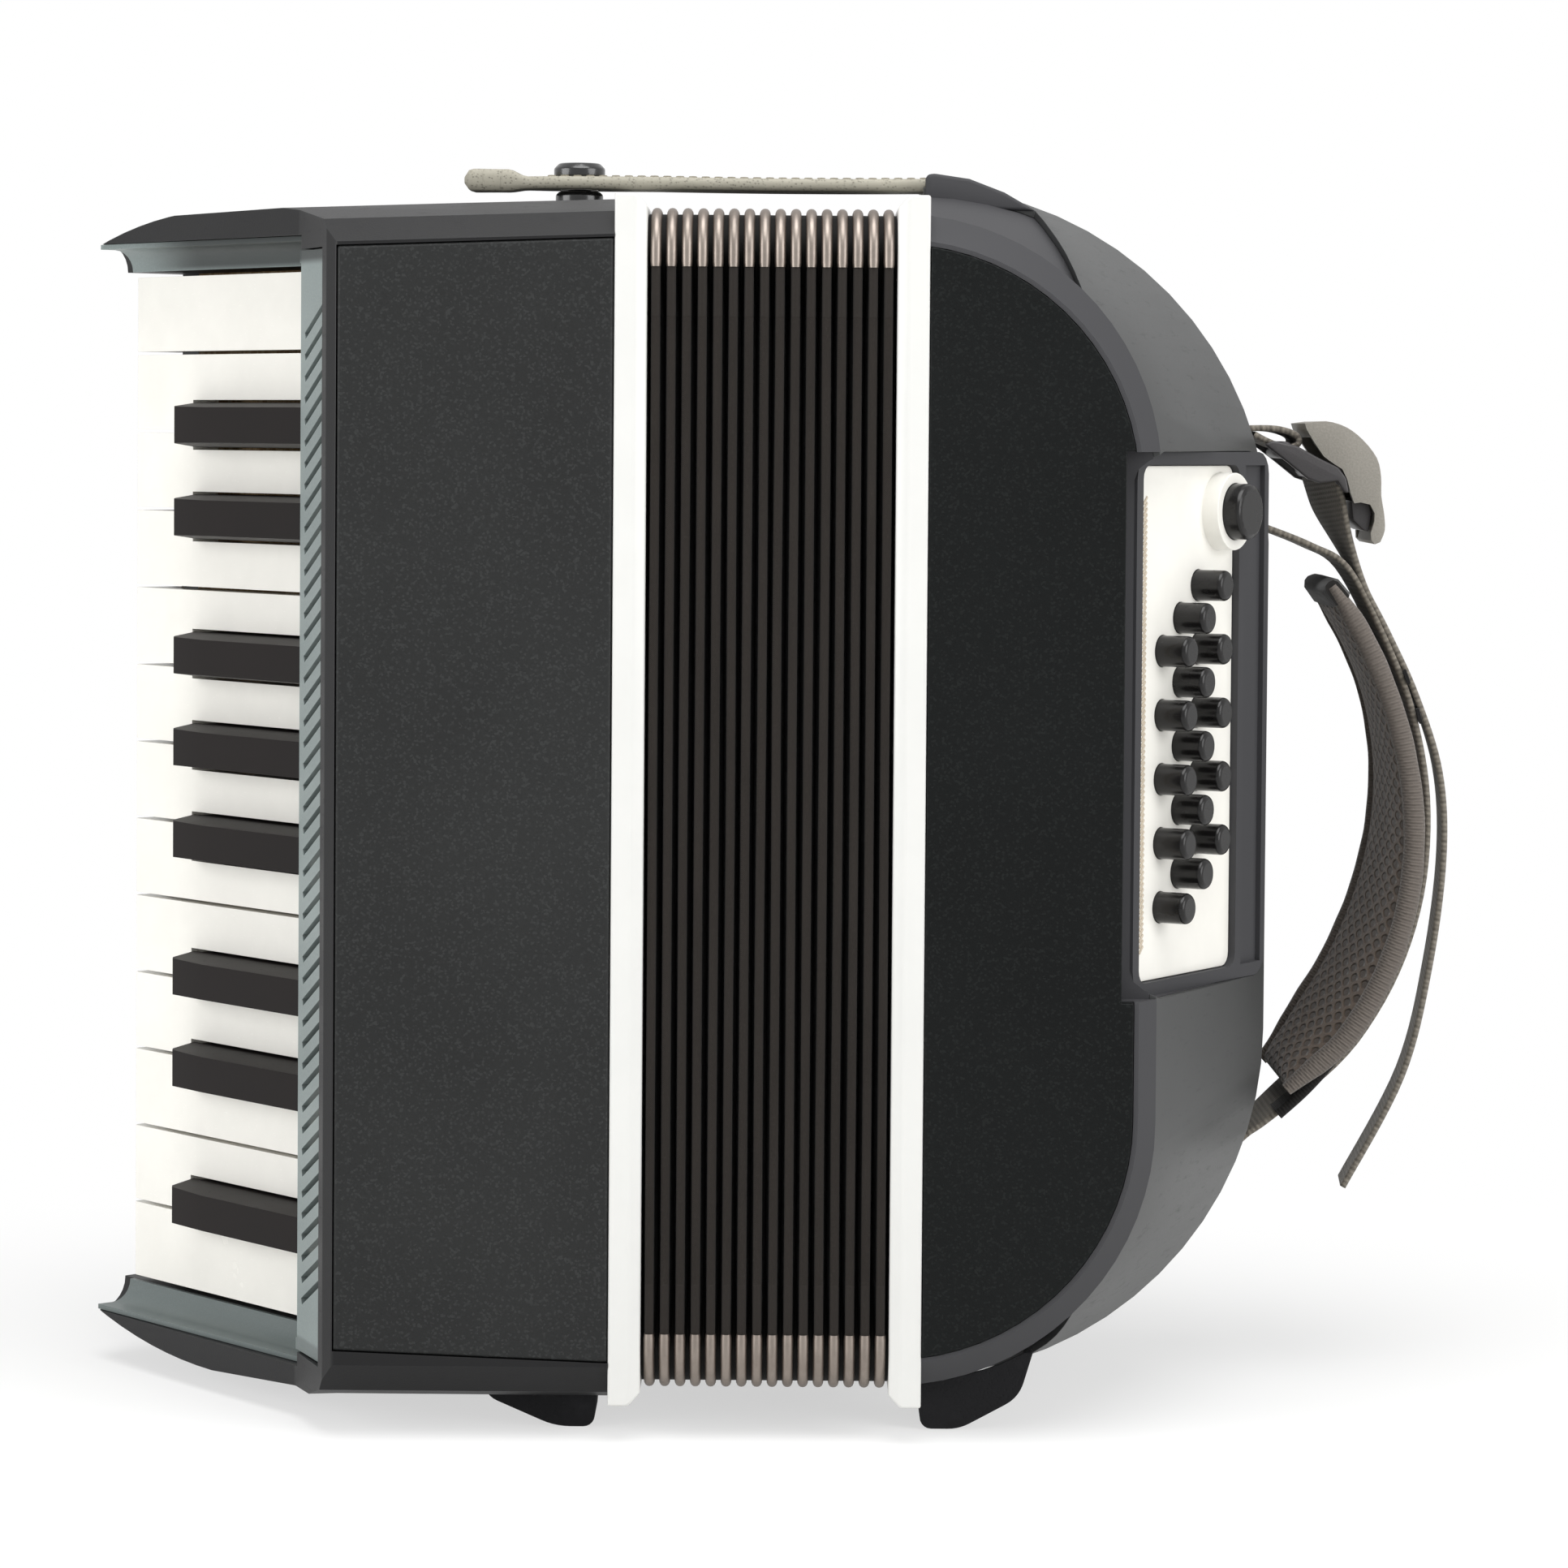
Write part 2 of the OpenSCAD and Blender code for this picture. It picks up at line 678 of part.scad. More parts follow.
module treble_reed_unit() {
    y0 = yf + 28.4;
    x0 = kp(key_len - 8, floor_d)[0] + 1.64;
    board = chamber_half - 0.1;
    rank = keys_half - 17;
    color([0.72, 0.58, 0.4]) {
        difference() {
            translate([x0, y0, zk - board])
                cube([xt - 0.2 - x0, 3, 2 * board]);
            for (i = [0 : n_white - 1])
                translate([xt - 22, y0 - 1, (tail_low(i) + tail_top(i)) / 2 - 2])
                    cube([10, 5, 4]);
            for (i = blacks)
                translate([xt - 22, y0 - 1, black_z(i) - 2])
                    cube([10, 5, 4]);
        }
        reed_block(xt - 33, xt - 20, y0 + 3, y0 + 35, rank, 11);
        reed_block(xt - 14, xt - 2, y0 + 3, y0 + 35, rank, 10);
    }
}

module bass_reed_unit() {
    color([0.72, 0.58, 0.4]) {
        translate([xs + 18, yf + cover_t + 5.2, zc - half + 30.2])
            cube([3, yb - yf - cover_t - 10.4, frame_h - 60.4]);
        reed_block(xs + 4, xs + 18, yf + 46, yb - 44, half - 46.2, 8);
    }
}

// ---------------------------------------------------------------- bass casing

x_cover = xs + bass_cover_w;
x_side = xs + bass_w;
bev_y = yf + 7;
bev_x = x_cover + 5.2;
bev_half = cover_half + 6.7;
bev_r = bass_cover_r + 5;

// Outline with two rounded corners on its right side
function dee(x0, x1, h, r, n = 16) =
    let (cx = x1 - r, a = acos(max(-1, min(1, (x0 - cx) / r))))
    concat([for (k = [-n : 0]) [cx + r * cos(a * k / n), zc - h + r + r * sin(a * k / n)]],
        [for (k = [0 : n]) [cx + r * cos(a * k / n), zc + h - r + r * sin(a * k / n)]]);

module dee_at(y0, y1, x1, h, r, x0 = xs) {
    along_y(y0, y1)
        polygon(dee(x0, x1, h, r));
}

module bass_shell(t, x0 = xs) {
    y0 = t > 0 ? bev_y - 0.2 : bev_y + 0.1;
    hull() {
        dee_at(y0, y0 + 0.1, bev_x - t, bev_half - t, bev_r - t, x0);
        dee_at(-bass_full_y, yb - 10, x_side - t, bass_half - t, bass_r - t, x0);
        dee_at(yb - t - 0.1, yb - t, x_side - 5 - t, bass_half - 5 - t, bass_r - 5 - t, x0);
    }
}

module on_plate() {
    translate([x_cover + 0.2, yf + 10, zc])
        rotate([90, 0, plate_tilt])
            children();
}

plate_low = plate_rise - plate_h / 2;
air_at = [39, plate_rise + plate_h / 2 - 10.2];
collar_r = air_r + 2.4;
land_w = 14.6;

module plate_outline(g) {
    polygon(rounded([
        [-g, plate_low - g], [plate_w + g, plate_low - g],
        [plate_w + g, plate_low + plate_h + g], [-g, plate_low + plate_h + g]
    ], [3, 3, 3, 3], 4));
}

module bezel_outline(g) {
    polygon(rounded([
        [-bezel - g, plate_low - bezel - g], [plate_w + land_w + g, plate_low - bezel - g],
        [plate_w + land_w + g, plate_low + plate_h + bezel + g],
        [-bezel - g, plate_low + plate_h + bezel + g]
    ], [6, 5, 5, 6], 4));
}

module plate_pocket(g) {
    on_plate()
        translate([0, 0, -6 - g])
            linear_extrude(40)
                bezel_outline(g);
    translate([x_cover - 2.6 - g, yf - 2, zc + plate_low - bezel - g])
        cube([12, 9, plate_h + 2 * bezel + 2 * g]);
}

module bass_cavity() {
    well = 8.4;
    intersection() {
        bass_shell(band_t + 3, xs - 1);
        tall(bass_half)
            polygon([
                [xs - 1, yf + cover_t + 3], [x_cover - 16, yf + cover_t + 3],
                [x_cover + 0.2 - well * sin(plate_tilt), yf + 10 + well * cos(plate_tilt)],
                [x_side - 0.8 - well * sin(plate_tilt), yf + 63 + well * cos(plate_tilt)],
                [x_side - 3, yf + 76], [x_side - 3, yb - 4], [xs - 1, yb - 4]
            ]);
    }
}

// Room for the air button's flange under the plate
module air_well() {
    on_plate()
        translate([air_at[0], air_at[1], -34.5])
            cylinder(r = air_r + 1.2, h = 34.5 - plate_t);
}

module bass_casing() {
    color([0.2, 0.21, 0.21]) {
        difference() {
            union() {
                hull() {
                    dee_at(yf + 0.5, yf + 0.6, x_cover + 1, cover_half + 1, bass_cover_r + 1);
                    dee_at(bev_y - 0.1, bev_y, bev_x, bev_half, bev_r);
                }
                bass_shell(band_t);
            }
            bass_cavity();
            dee_at(yf - 1, yf + cover_t, x_cover, cover_half, bass_cover_r, xs - 1);
            plate_pocket(0);
            on_plate()
                translate([2.6, plate_low + 3, -34])
                    cube([plate_w - 5.2, plate_h - 6, 30]);
            air_well();
            translate([xs - 1, -strap_w / 2 - 0.3, zc + half + 3.6])
                cube([5, strap_w + 0.6, 12]);
        }
        difference() {
            on_plate()
                translate([0, 0, -6])
                    linear_extrude(7.6)
                        bezel_outline(0);
            on_plate()
                translate([0, 0, -plate_t])
                    linear_extrude(20)
                        plate_outline(0.15);
            on_plate()
                translate([air_at[0], air_at[1], -plate_t])
                    cylinder(r = collar_r + 0.15, h = 20);
            on_plate()
                translate([2.6, plate_low + 3, -34])
                    cube([plate_w - 5.2, plate_h - 6, 40]);
            air_well();
            on_plate()
                translate([plate_w + 3, plate_low, 0.4])
                    cube([land_w - 5, plate_h, 4]);
        }
    }
}

module bass_band() {
    color([0.37, 0.38, 0.38])
        difference() {
            bass_shell(0);
            bass_shell(band_t - 0.03);
            plate_pocket(0.1);
            // scallops of the dark casing at both ends of the band
            for (s = [-1, 1])
                translate([xs - 1, 0, zc + s * bass_half])
                    linear_extrude(80, center = true)
                        polygon([
                            [0, bev_y - 2], [scallop_w + 5, bev_y - 2],
                            [scallop_w + 2, bev_y + 20], [scallop_w - 3, -bass_full_y - 4],
                            [0, -bass_full_y - 2]
                        ]);
            translate([xs - 1, -strap_w / 2 - 0.3, zc + half + 3.6])
                cube([5, strap_w + 0.6, 12]);
        }
}

module bass_cover() {
    color([0.13, 0.14, 0.14])
        difference() {
            dee_at(yf, yf + cover_t - 0.1, x_cover - cover_gap, cover_half - cover_gap,
                bass_cover_r - cover_gap, xs + cover_gap);
            plate_pocket(0.2);
        }
}

module button_plate() {
    color([0.96, 0.95, 0.92])
        on_plate()
            difference() {
                union() {
                    translate([0, 0, -plate_t])
                        linear_extrude(plate_t)
                            plate_outline(0);
                    translate([air_at[0], air_at[1], -plate_t])
                        cylinder(r = collar_r, h = plate_t + 4);
                }
                for (k = [0 : 14])
                    translate([button_xy(k)[0], button_xy(k)[1], -plate_t - 1])
                        cylinder(r = button_r + button_fit, h = plate_t + 2);
                translate([air_at[0], air_at[1], -plate_t - 1])
                    cylinder(r = air_r + button_fit, h = plate_t + 6);
            }
}

// Buttons stand in three slanting columns of five
function button_xy(k) = [
    12.5 + floor(k / 5) * column_pitch,
    plate_rise + 15.6 + floor(k / 5) * button_pitch / 2 - (k % 5) * button_pitch
];

module bass_button(k) {
    r = button_r;
    color([0.1, 0.1, 0.1])
        on_plate()
            translate(button_xy(k))
                rotate_extrude()
                    polygon([
                        [0, button_out], [r - 0.9, button_out], [r - 0.3, button_out - 0.3],
                        [r, button_out - 0.9], [r, -plate_t - 0.3],
                        [r + 0.6, -plate_t - 0.3], [r + 0.6, -plate_t - 1.6],
                        [1.6, -plate_t - 1.6], [1.6, -18], [0, -18]
                    ]);
}

module air_button() {
    color([0.1, 0.1, 0.1])
        on_plate()
            translate(air_at)
                rotate_extrude()
                    polygon([
                        [0, air_out], [air_r - 1.2, air_out], [air_r - 0.3, air_out - 0.4],
                        [air_r, air_out - 1.2], [air_r, -plate_t - 0.3],
                        [air_r + 0.9, -plate_t - 0.3], [air_r + 0.9, -plate_t - 1.8],
                        [2, -plate_t - 1.8], [2, -16], [0, -16]
                    ]);
}

// ---------------------------------------------------------------- feet, stud, brackets

module treble_feet() {
    color([0.12, 0.12, 0.12])
        difference() {
            for (y = [yf + 18, yb - 34])
                along_y(y, y + 16)
                    polygon(rounded([
                        [xt - 29, zc - half + 6], [xt - 27, zc - half - 1.5], [xt - 12, 0],
                        [xt - 3.5, 0], [xt - 2.5, zc - half + 6]
                    ], [0, 5, 16, 2.5, 0], 5));
            treble_outer();
        }
}

module bass_feet() {
    color([0.12, 0.12, 0.12])
        difference() {
            for (y = [yf + 18, yb - 34])
                along_y(y, y + 16)
                    polygon(rounded([
                        [xs + 0.3, zc - half + 9], [xs + 0.3, 0], [xs + 9, 0],
                        [xs + 22, y < 0 ? 7 : 4.5], [xs + 25, zc - half + 9]
                    ], [0, 2.5, 10, 8, 0], 5));
            bass_shell(-0.05);
            hull() {
                dee_at(bev_y - 1, bev_y, bev_x + 0.05, bev_half + 0.05, bev_r);
                dee_at(bev_y + 0.2, bev_y + 0.3, bev_x + 0.05, bev_half + 0.05, bev_r);
            }
        }
}

stud_at = [xt - 10.5, 0];
strap_z = zc + half + 3.9;
module strap_stud() {
    color([0.16, 0.16, 0.16])
        difference() {
            translate([stud_at[0], stud_at[1], 0])
                rotate_extrude()
                    polygon([
                        [0, zc + half - 6], [5.4, zc + half - 6], [5.4, strap_z - 1.2],
                        [4.6, strap_z - 0.4], [stud_r, strap_z - 0.4],
                        [stud_r, strap_z + strap_t + 0.2], [5.8, strap_z + strap_t + 0.2],
                        [5.8, strap_z + strap_t + 2], [4.6, strap_z + strap_t + 3.2],
                        [0, strap_z + strap_t + 3.4]
                    ]);
            along_y(-20, 20)
                treble_profile();
        }
}

module bellows_strap() {
    x1 = xs + 3.6;
    x0 = stud_at[0] - 9;
    color([0.6, 0.58, 0.5]) {
        difference() {
            translate([x0, 0, strap_z])
                linear_extrude(strap_t)
                    polygon(rounded([
                        [0, -4], [6, -strap_w / 2], [x1 - x0, -strap_w / 2],
                        [x1 - x0, strap_w / 2], [6, strap_w / 2], [0, 4],
                        [-6, 4.6], [-17, 5.6], [-17, -5.6], [-6, -4.6]
                    ], [3, 4, 0, 0, 4, 3, 3, 3, 3, 3], 4));
            translate([stud_at[0], stud_at[1], strap_z - 1])
                cylinder(r = stud_r + 0.2, h = strap_t + 2);
        }
        translate([x0 - 17, 0, strap_z + strap_t])
            linear_extrude(1.2)
                polygon(rounded([[0, -5.6], [13, -5], [13, 5], [0, 5.6]], [3, 2, 2, 3], 4));
    }
}

// Metal ears on the back of the treble casing, where shoulder straps hook on
module shoulder_strap_brackets() {
    color([0.78, 0.78, 0.78])
        for (s = [-1, 1])
            difference() {
                union() {
                    translate([xt - 34, yb, zc + s * 96 - 9])
                        cube([16, 1.5, 18]);
                    translate([xt - 27, yb + 1.5, zc + s * 96])
                        rotate([0, 90, 0])
                            translate([0, 0, 0])
                                linear_extrude(2)
                                    polygon(rounded([[-6, 0], [6, 0], [6, 6.5], [-6, 6.5]],
                                        [0, 0, 4, 4], 5));
                }
                translate([xt - 28, yb + 4.2, zc + s * 96])
                    rotate([0, 90, 0])
                        cylinder(r = 1.8, h = 4);
            }
}

// ---------------------------------------------------------------- hand strap

strap_y = 25;
pad_c = [x_side - 51.5, zc - 7];
function on_pad(r, a) = pad_c + r * [cos(a), sin(a)];
pad_a0 = -48;
pad_a1 = 36;

module hand_strap_pad() {
    m = pad_w / 2;
    e = pad_t / 2;
    color([0.33, 0.3, 0.27])
        translate([pad_c[0], strap_y, pad_c[1]])
            rotate([90, 0, 0])
                rotate([0, 0, pad_a0])
                    rotate_extrude(angle = pad_a1 - pad_a0, $fn = 96)
                        translate([pad_r, 0])
                            polygon(rounded([[-e, -m], [e, -m], [e, m], [-e, m]],
                                [e - 0.6, e - 0.6, e - 0.6, e - 0.6], 4));
}

web_r = pad_r + pad_t / 2 + web_t / 2 + 0.3;
module web(p, w = web_w) {
    along_y(strap_y - w / 2, strap_y + w / 2)
        polygon(ribbon(spline(p, 5), web_t));
}

// Where the bass casing's side lies at a height over the middle
function side_x(z) = x_side - bass_r
    + sqrt(pow(bass_r, 2) - pow(max(0, abs(z) - bass_half + bass_r), 2));

module hand_strap_webbing() {
    color([0.35, 0.33, 0.31]) {
        // round the outside of the pad, from casing to casing
        web([
            [side_x(-86) + 0.9, zc - 86], [side_x(-86) + 4.5, zc - 82.5],
            on_pad(web_r, -52), on_pad(web_r, -40), on_pad(web_r, -26), on_pad(web_r, -12),
            on_pad(web_r, 2), on_pad(web_r, 15), on_pad(web_r, 26),
            [x_side + 20.6, zc + 48.9], [x_side + 12, zc + 54.2],
            [side_x(58.5) + 1.1, zc + 58.5]
        ]);
        // short loop to the buckle
        web([
            [side_x(80.8) + 1, zc + 80.8], [x_side + 4, zc + 80.4], [x_side + 8.6, zc + 79.9]
        ]);
        // end that comes back through the buckle and hangs down
        web([
            [x_side + 15.6, zc + 68.6], [x_side + 16.4, zc + 60], [x_side + 23.6, zc + 52.2],
            [x_side + 31.8, zc + 37.5], [x_side + 38.4, zc + 22], [x_side + 43.6, zc + 3],
            [x_side + 44.4, zc - 18], [x_side + 41.4, zc - 44], [x_side + 35.4, zc - 69],
            [x_side + 22, zc - 95]
        ]);
    }
}

module hand_strap_buckle() {
    w = web_w + 6;
    a = [x_side + 9.4, zc + 79.4];
    b = [x_side + 21.6, zc + 66.6];
    color([0.6, 0.58, 0.54])
        difference() {
            along_y(strap_y - w / 2, strap_y + w / 2)
                union() {
                    polygon(ribbon([a, b], 4.2));
                    polygon(ribbon(spline([
                        a + [0.6, -0.4], [x_side + 14, zc + 83.2], [x_side + 21, zc + 82.6],
                        [x_side + 27.6, zc + 78.6], [x_side + 30.6, zc + 71],
                        [x_side + 30.8, zc + 62], [x_side + 30, zc + 56.4]
                    ], 5), 2.2));
                }
            // window where the webbing passes
            translate([(a[0] + b[0]) / 2, strap_y, (a[1] + b[1]) / 2])
                rotate([0, 46.4, 0])
                    cube([6, web_w + 1, 5], center = true);
        }
}

// ---------------------------------------------------------------- draw

white_key(0);  // white_key_01
white_key(1);  // white_key_02
white_key(2);  // white_key_03
white_key(3);  // white_key_04
white_key(4);  // white_key_05
white_key(5);  // white_key_06
white_key(6);  // white_key_07
white_key(7);  // white_key_08
white_key(8);  // white_key_09
white_key(9);  // white_key_10
white_key(10);  // white_key_11
white_key(11);  // white_key_12
white_key(12);  // white_key_13
black_key(0);  // black_key_01
black_key(1);  // black_key_02
black_key(2);  // black_key_03
black_key(3);  // black_key_04
black_key(4);  // black_key_05
black_key(5);  // black_key_06
black_key(6);  // black_key_07
black_key(7);  // black_key_08
bass_button(0);  // bass_button_01
bass_button(1);  // bass_button_02
bass_button(2);  // bass_button_03
bass_button(3);  // bass_button_04
bass_button(4);  // bass_button_05
bass_button(5);  // bass_button_06
bass_button(6);  // bass_button_07
bass_button(7);  // bass_button_08
bass_button(8);  // bass_button_09
bass_button(9);  // bass_button_10
bass_button(10);  // bass_button_11
bass_button(11);  // bass_button_12
bass_button(12);  // bass_button_13
bass_button(13);  // bass_button_14
bass_button(14);  // bass_button_15
air_button();
treble_casing();
treble_cover();
keyboard_surround();
key_bed();
key_rod();
treble_reed_unit();
treble_frame();
strap_stud();
treble_feet();
shoulder_strap_brackets();
bellows_folds();
bellows_corners();
bellows_strap();
bass_casing();
bass_cover();
bass_band();
button_plate();
bass_frame();
bass_reed_unit();
bass_feet();
hand_strap_pad();
hand_strap_webbing();
hand_strap_buckle();
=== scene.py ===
import math
import random

import bmesh
import bpy
from bpy.props import FloatProperty, FloatVectorProperty, IntProperty, PointerProperty
from mathutils import Matrix, Vector


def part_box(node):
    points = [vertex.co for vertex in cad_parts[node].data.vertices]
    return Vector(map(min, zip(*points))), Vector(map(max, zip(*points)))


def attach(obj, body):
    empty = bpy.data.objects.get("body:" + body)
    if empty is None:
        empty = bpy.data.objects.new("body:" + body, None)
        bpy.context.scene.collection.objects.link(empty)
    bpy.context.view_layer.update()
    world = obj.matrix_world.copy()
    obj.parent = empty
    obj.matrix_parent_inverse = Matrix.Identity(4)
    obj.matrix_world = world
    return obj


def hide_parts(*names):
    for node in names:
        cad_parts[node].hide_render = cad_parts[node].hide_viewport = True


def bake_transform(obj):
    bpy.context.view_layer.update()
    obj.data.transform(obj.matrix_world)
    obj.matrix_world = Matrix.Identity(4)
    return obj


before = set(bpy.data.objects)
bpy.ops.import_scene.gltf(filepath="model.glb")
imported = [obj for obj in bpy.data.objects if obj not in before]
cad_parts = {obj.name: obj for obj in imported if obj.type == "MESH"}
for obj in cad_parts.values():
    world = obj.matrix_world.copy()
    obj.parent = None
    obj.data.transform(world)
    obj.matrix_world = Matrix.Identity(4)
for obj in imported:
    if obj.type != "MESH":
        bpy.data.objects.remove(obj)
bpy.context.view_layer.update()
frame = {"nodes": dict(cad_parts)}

bl_info = {
    "name": "Piano accordion finishes",
    "version": (1, 0, 0),
    "blender": (4, 5, 0),
    "location": "View3D > Sidebar > Accordion",
    "description": "Dresses the accordion's frame with its bellows, straps, trim and finishes",
    "category": "Object",
}

MM = 0.001


# ------------------------------------------------------------ places on the instrument

def span(node):
    """Lowest and highest corner of a node, in millimetres."""
    low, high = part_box(node)
    return [c / MM for c in low], [c / MM for c in high]


FRAME_LOW, FRAME_HIGH = span("treble_frame")
BASS_FRAME_HIGH = span("bass_frame")[1]
FOLDS_LOW, FOLDS_HIGH = span("bellows_folds")
STRAP_LOW, STRAP_HIGH = span("bellows_strap")
BAND_HIGH = span("bass_band")[1]
MIDDLE_Z = (FRAME_LOW[2] + FRAME_HIGH[2]) / 2
BACK_Y = FRAME_HIGH[1]
FRONT_Y = FRAME_LOW[1]
SIDE_X = BAND_HIGH[0]
CASING_X = BASS_FRAME_HIGH[0]
WHITE_KEYS = [f"white_key_{i:02d}" for i in range(1, 14)]
BLACK_KEYS = [f"black_key_{i:02d}" for i in range(1, 9)]
BUTTONS = [f"bass_button_{i:02d}" for i in range(1, 16)] + ["air_button"]
PLATE_TILT = 58.0
TICK_PITCH = 1.25
STITCH_PITCH = 2.9
HOOD_HALF = 12.6


def tint(red, green, blue):
    """A colour as it reads on a chart, 0 to 255, turned to linear light."""
    def one(c):
        c = c / 255
        return c / 12.92 if c <= 0.04045 else ((c + 0.055) / 1.055) ** 2.4
    return (one(red), one(green), one(blue))


def opaque(colour):
    return (colour[0], colour[1], colour[2], 1.0)


def shade_of(colour, factor):
    """A darker or lighter version of a colour."""
    return tuple(min(1.0, c * factor) for c in colour[:3])


# ------------------------------------------------------------ finishes as expressions

class Term:
    """A value inside a finish. Arithmetic on it adds the Math nodes that work it out."""

    def __init__(self, finish, socket):
        self.finish = finish
        self.socket = socket

    def _math(self, operation, first, second=0.0):
        return self.finish.add("ShaderNodeMath", {"operation": operation}, [first, second])

    def __add__(self, other):
        return self._math("ADD", self, other)

    def __radd__(self, other):
        return self._math("ADD", other, self)

    def __sub__(self, other):
        return self._math("SUBTRACT", self, other)

    def __rsub__(self, other):
        return self._math("SUBTRACT", other, self)

    def __mul__(self, other):
        return self._math("MULTIPLY", self, other)

    def __rmul__(self, other):
        return self._math("MULTIPLY", other, self)

    def __truediv__(self, other):
        return self._math("DIVIDE", self, other)

    def __pow__(self, other):
        return self._math("POWER", self, other)

    def __abs__(self):
        return self._math("ABSOLUTE", self)

    def sine(self):
        return self._math("SINE", self)

    def at_least(self, other):
        return self._math("MAXIMUM", self, other)

    def ease(self, low, high):
        """0 below low, 1 above high, smooth between."""
        return self.finish.add(
            "ShaderNodeMapRange", {"interpolation_type": "SMOOTHSTEP"},
            [self, low, high, 0.0, 1.0])


class Finish:
    """A node tree being filled in: a finish, or the room's light."""

    def __init__(self, owner):
        owner.use_nodes = True
        self.owner = owner
        self.tree = owner.node_tree
        self.tree.nodes.clear()

    def add(self, kind, settings=None, values=None, out=0):
        """Adds a node of a type, with its settings, then its sockets' values or links."""
        node = self.tree.nodes.new(kind)
        for key, value in (settings or {}).items():
            setattr(node, key, value)
        pairs = values.items() if isinstance(values, dict) else enumerate(values or [])
        for key, value in pairs:
            socket = node.inputs[key]
            if isinstance(value, Term):
                self.tree.links.new(value.socket, socket)
            elif value is not None:
                socket.default_value = value
        return Term(self, node.outputs[out]) if len(node.outputs) else None

    def place(self):
        """Where a point lies on the piece, in metres."""
        return self.add("ShaderNodeTexCoord", out="Object")

    def run(self):
        """How far along, how far across and how deep a point lies on a strap."""
        return self.add("ShaderNodeAttribute", {"attribute_name": "run"}, out="Vector")

    def parts(self, vector):
        split = self.add("ShaderNodeSeparateXYZ", None, [vector])
        node = split.socket.node
        return [Term(self, node.outputs[i]) for i in range(3)]

    def stretch(self, vector, factors):
        return self.add("ShaderNodeVectorMath", {"operation": "MULTIPLY"}, [vector, factors])

    def noise(self, vector, scale, detail=2.0, rough=0.5):
        return self.add("ShaderNodeTexNoise", None, {
            "Vector": vector, "Scale": scale, "Detail": detail, "Roughness": rough})

    def cells(self, vector, scale, out="Distance"):
        return self.add("ShaderNodeTexVoronoi", None, {"Vector": vector, "Scale": scale}, out)

    def mix(self, share, first, second):
        """A colour between two colours."""
        first = first if isinstance(first, Term) else opaque(first)
        second = second if isinstance(second, Term) else opaque(second)
        return self.add("ShaderNodeMix", {"data_type": "RGBA", "clamp_factor": True},
                        {0: share, 6: first, 7: second}, 2)

    def edges(self, radius):
        """1 along the edges of a hard piece, 0 on its faces."""
        worn = self.add("ShaderNodeBevel", {"samples": 4}, {"Radius": radius})
        true = self.add("ShaderNodeNewGeometry", out="Normal")
        match = self.add("ShaderNodeVectorMath", {"operation": "DOT_PRODUCT"},
                         [worn, true], "Value")
        return (1 - match).ease(0.02, 0.22)

    def close(self, colour, roughness, height=None, depth=0.0001, **constants):
        """Ends the finish with its surface."""
        values = {"Base Color": colour if isinstance(colour, Term) else opaque(colour),
                  "Roughness": roughness}
        if height is not None:
            values["Normal"] = self.add("ShaderNodeBump", None, {
                "Strength": 1.0, "Distance": depth, "Height": height})
        for key, value in constants.items():
            values[key.replace("_", " ")] = value
        surface = self.add("ShaderNodeBsdfPrincipled", None, values)
        self.add("ShaderNodeOutputMaterial", None, {"Surface": surface})
        return self.owner


def new_finish(name):
    return Finish(bpy.data.materials.new(name))


def moulded(name, colour, rough=0.45, grain=0.35, depth=0.03, gloss=0.4, wear=0.25, coat=0.0,
            painted_shade=None):
    """Moulded plastic with a fine spark-eroded grain, handling marks and paler edges.
    The last argument gives how much painted shade darkens a place."""
    f = new_finish(name)
    at = f.place()
    fine = f.noise(at, 1 / (grain * MM), 3.0, 0.6)
    cloud = f.noise(at, 22.0, 3.0, 0.55)
    marks = f.noise(f.stretch(at, (1.0, 1.0, 4.0)), 160.0, 4.0, 0.7).ease(0.55, 0.8)
    tone = f.mix(cloud.ease(0.3, 0.7), shade_of(colour, 0.9), shade_of(colour, 1.08))
    tone = f.mix(fine.ease(0.35, 0.75) * 0.3, tone, shade_of(colour, 1.5))
    tone = f.mix(f.edges(0.5 * MM) * wear, tone, shade_of(colour, 2.0))
    # Painted shade: darkens the places that the last argument picks out, towards a much darker
    # copy of the colour.
    if painted_shade is not None:
        tone = f.mix(painted_shade(f.parts(at)), tone, shade_of(colour, 0.12))
    return f.close(tone, rough + 0.1 * (fine - 0.5) + 0.12 * marks, fine, depth * MM,
                   Specular_IOR_Level=gloss, Coat_Weight=coat, Coat_Roughness=0.12)


def glossy(name, colour, rough=0.16, wear=0.1, gloss=0.5, coat=0.4, fleck=1.12):
    """Polished moulding: clear depth, hairline scratches and finger haze."""
    f = new_finish(name)
    at = f.place()
    haze = f.noise(at, 45.0, 4.0, 0.6)
    hair = f.noise(f.stretch(at, (1.0, 1.0, 9.0)), 620.0, 2.0, 0.5).ease(0.66, 0.8)
    peel = f.noise(at, 520.0, 2.0, 0.5)
    tone = f.mix(haze.ease(0.25, 0.75), shade_of(colour, 0.965), shade_of(colour, fleck))
    tone = f.mix(f.edges(0.4 * MM) * wear, tone, shade_of(colour, 1.7))
    return f.close(tone, rough + 0.1 * haze + 0.12 * hair, peel, 0.008 * MM,
                   Specular_IOR_Level=gloss, Coat_Weight=coat, Coat_Roughness=0.08)


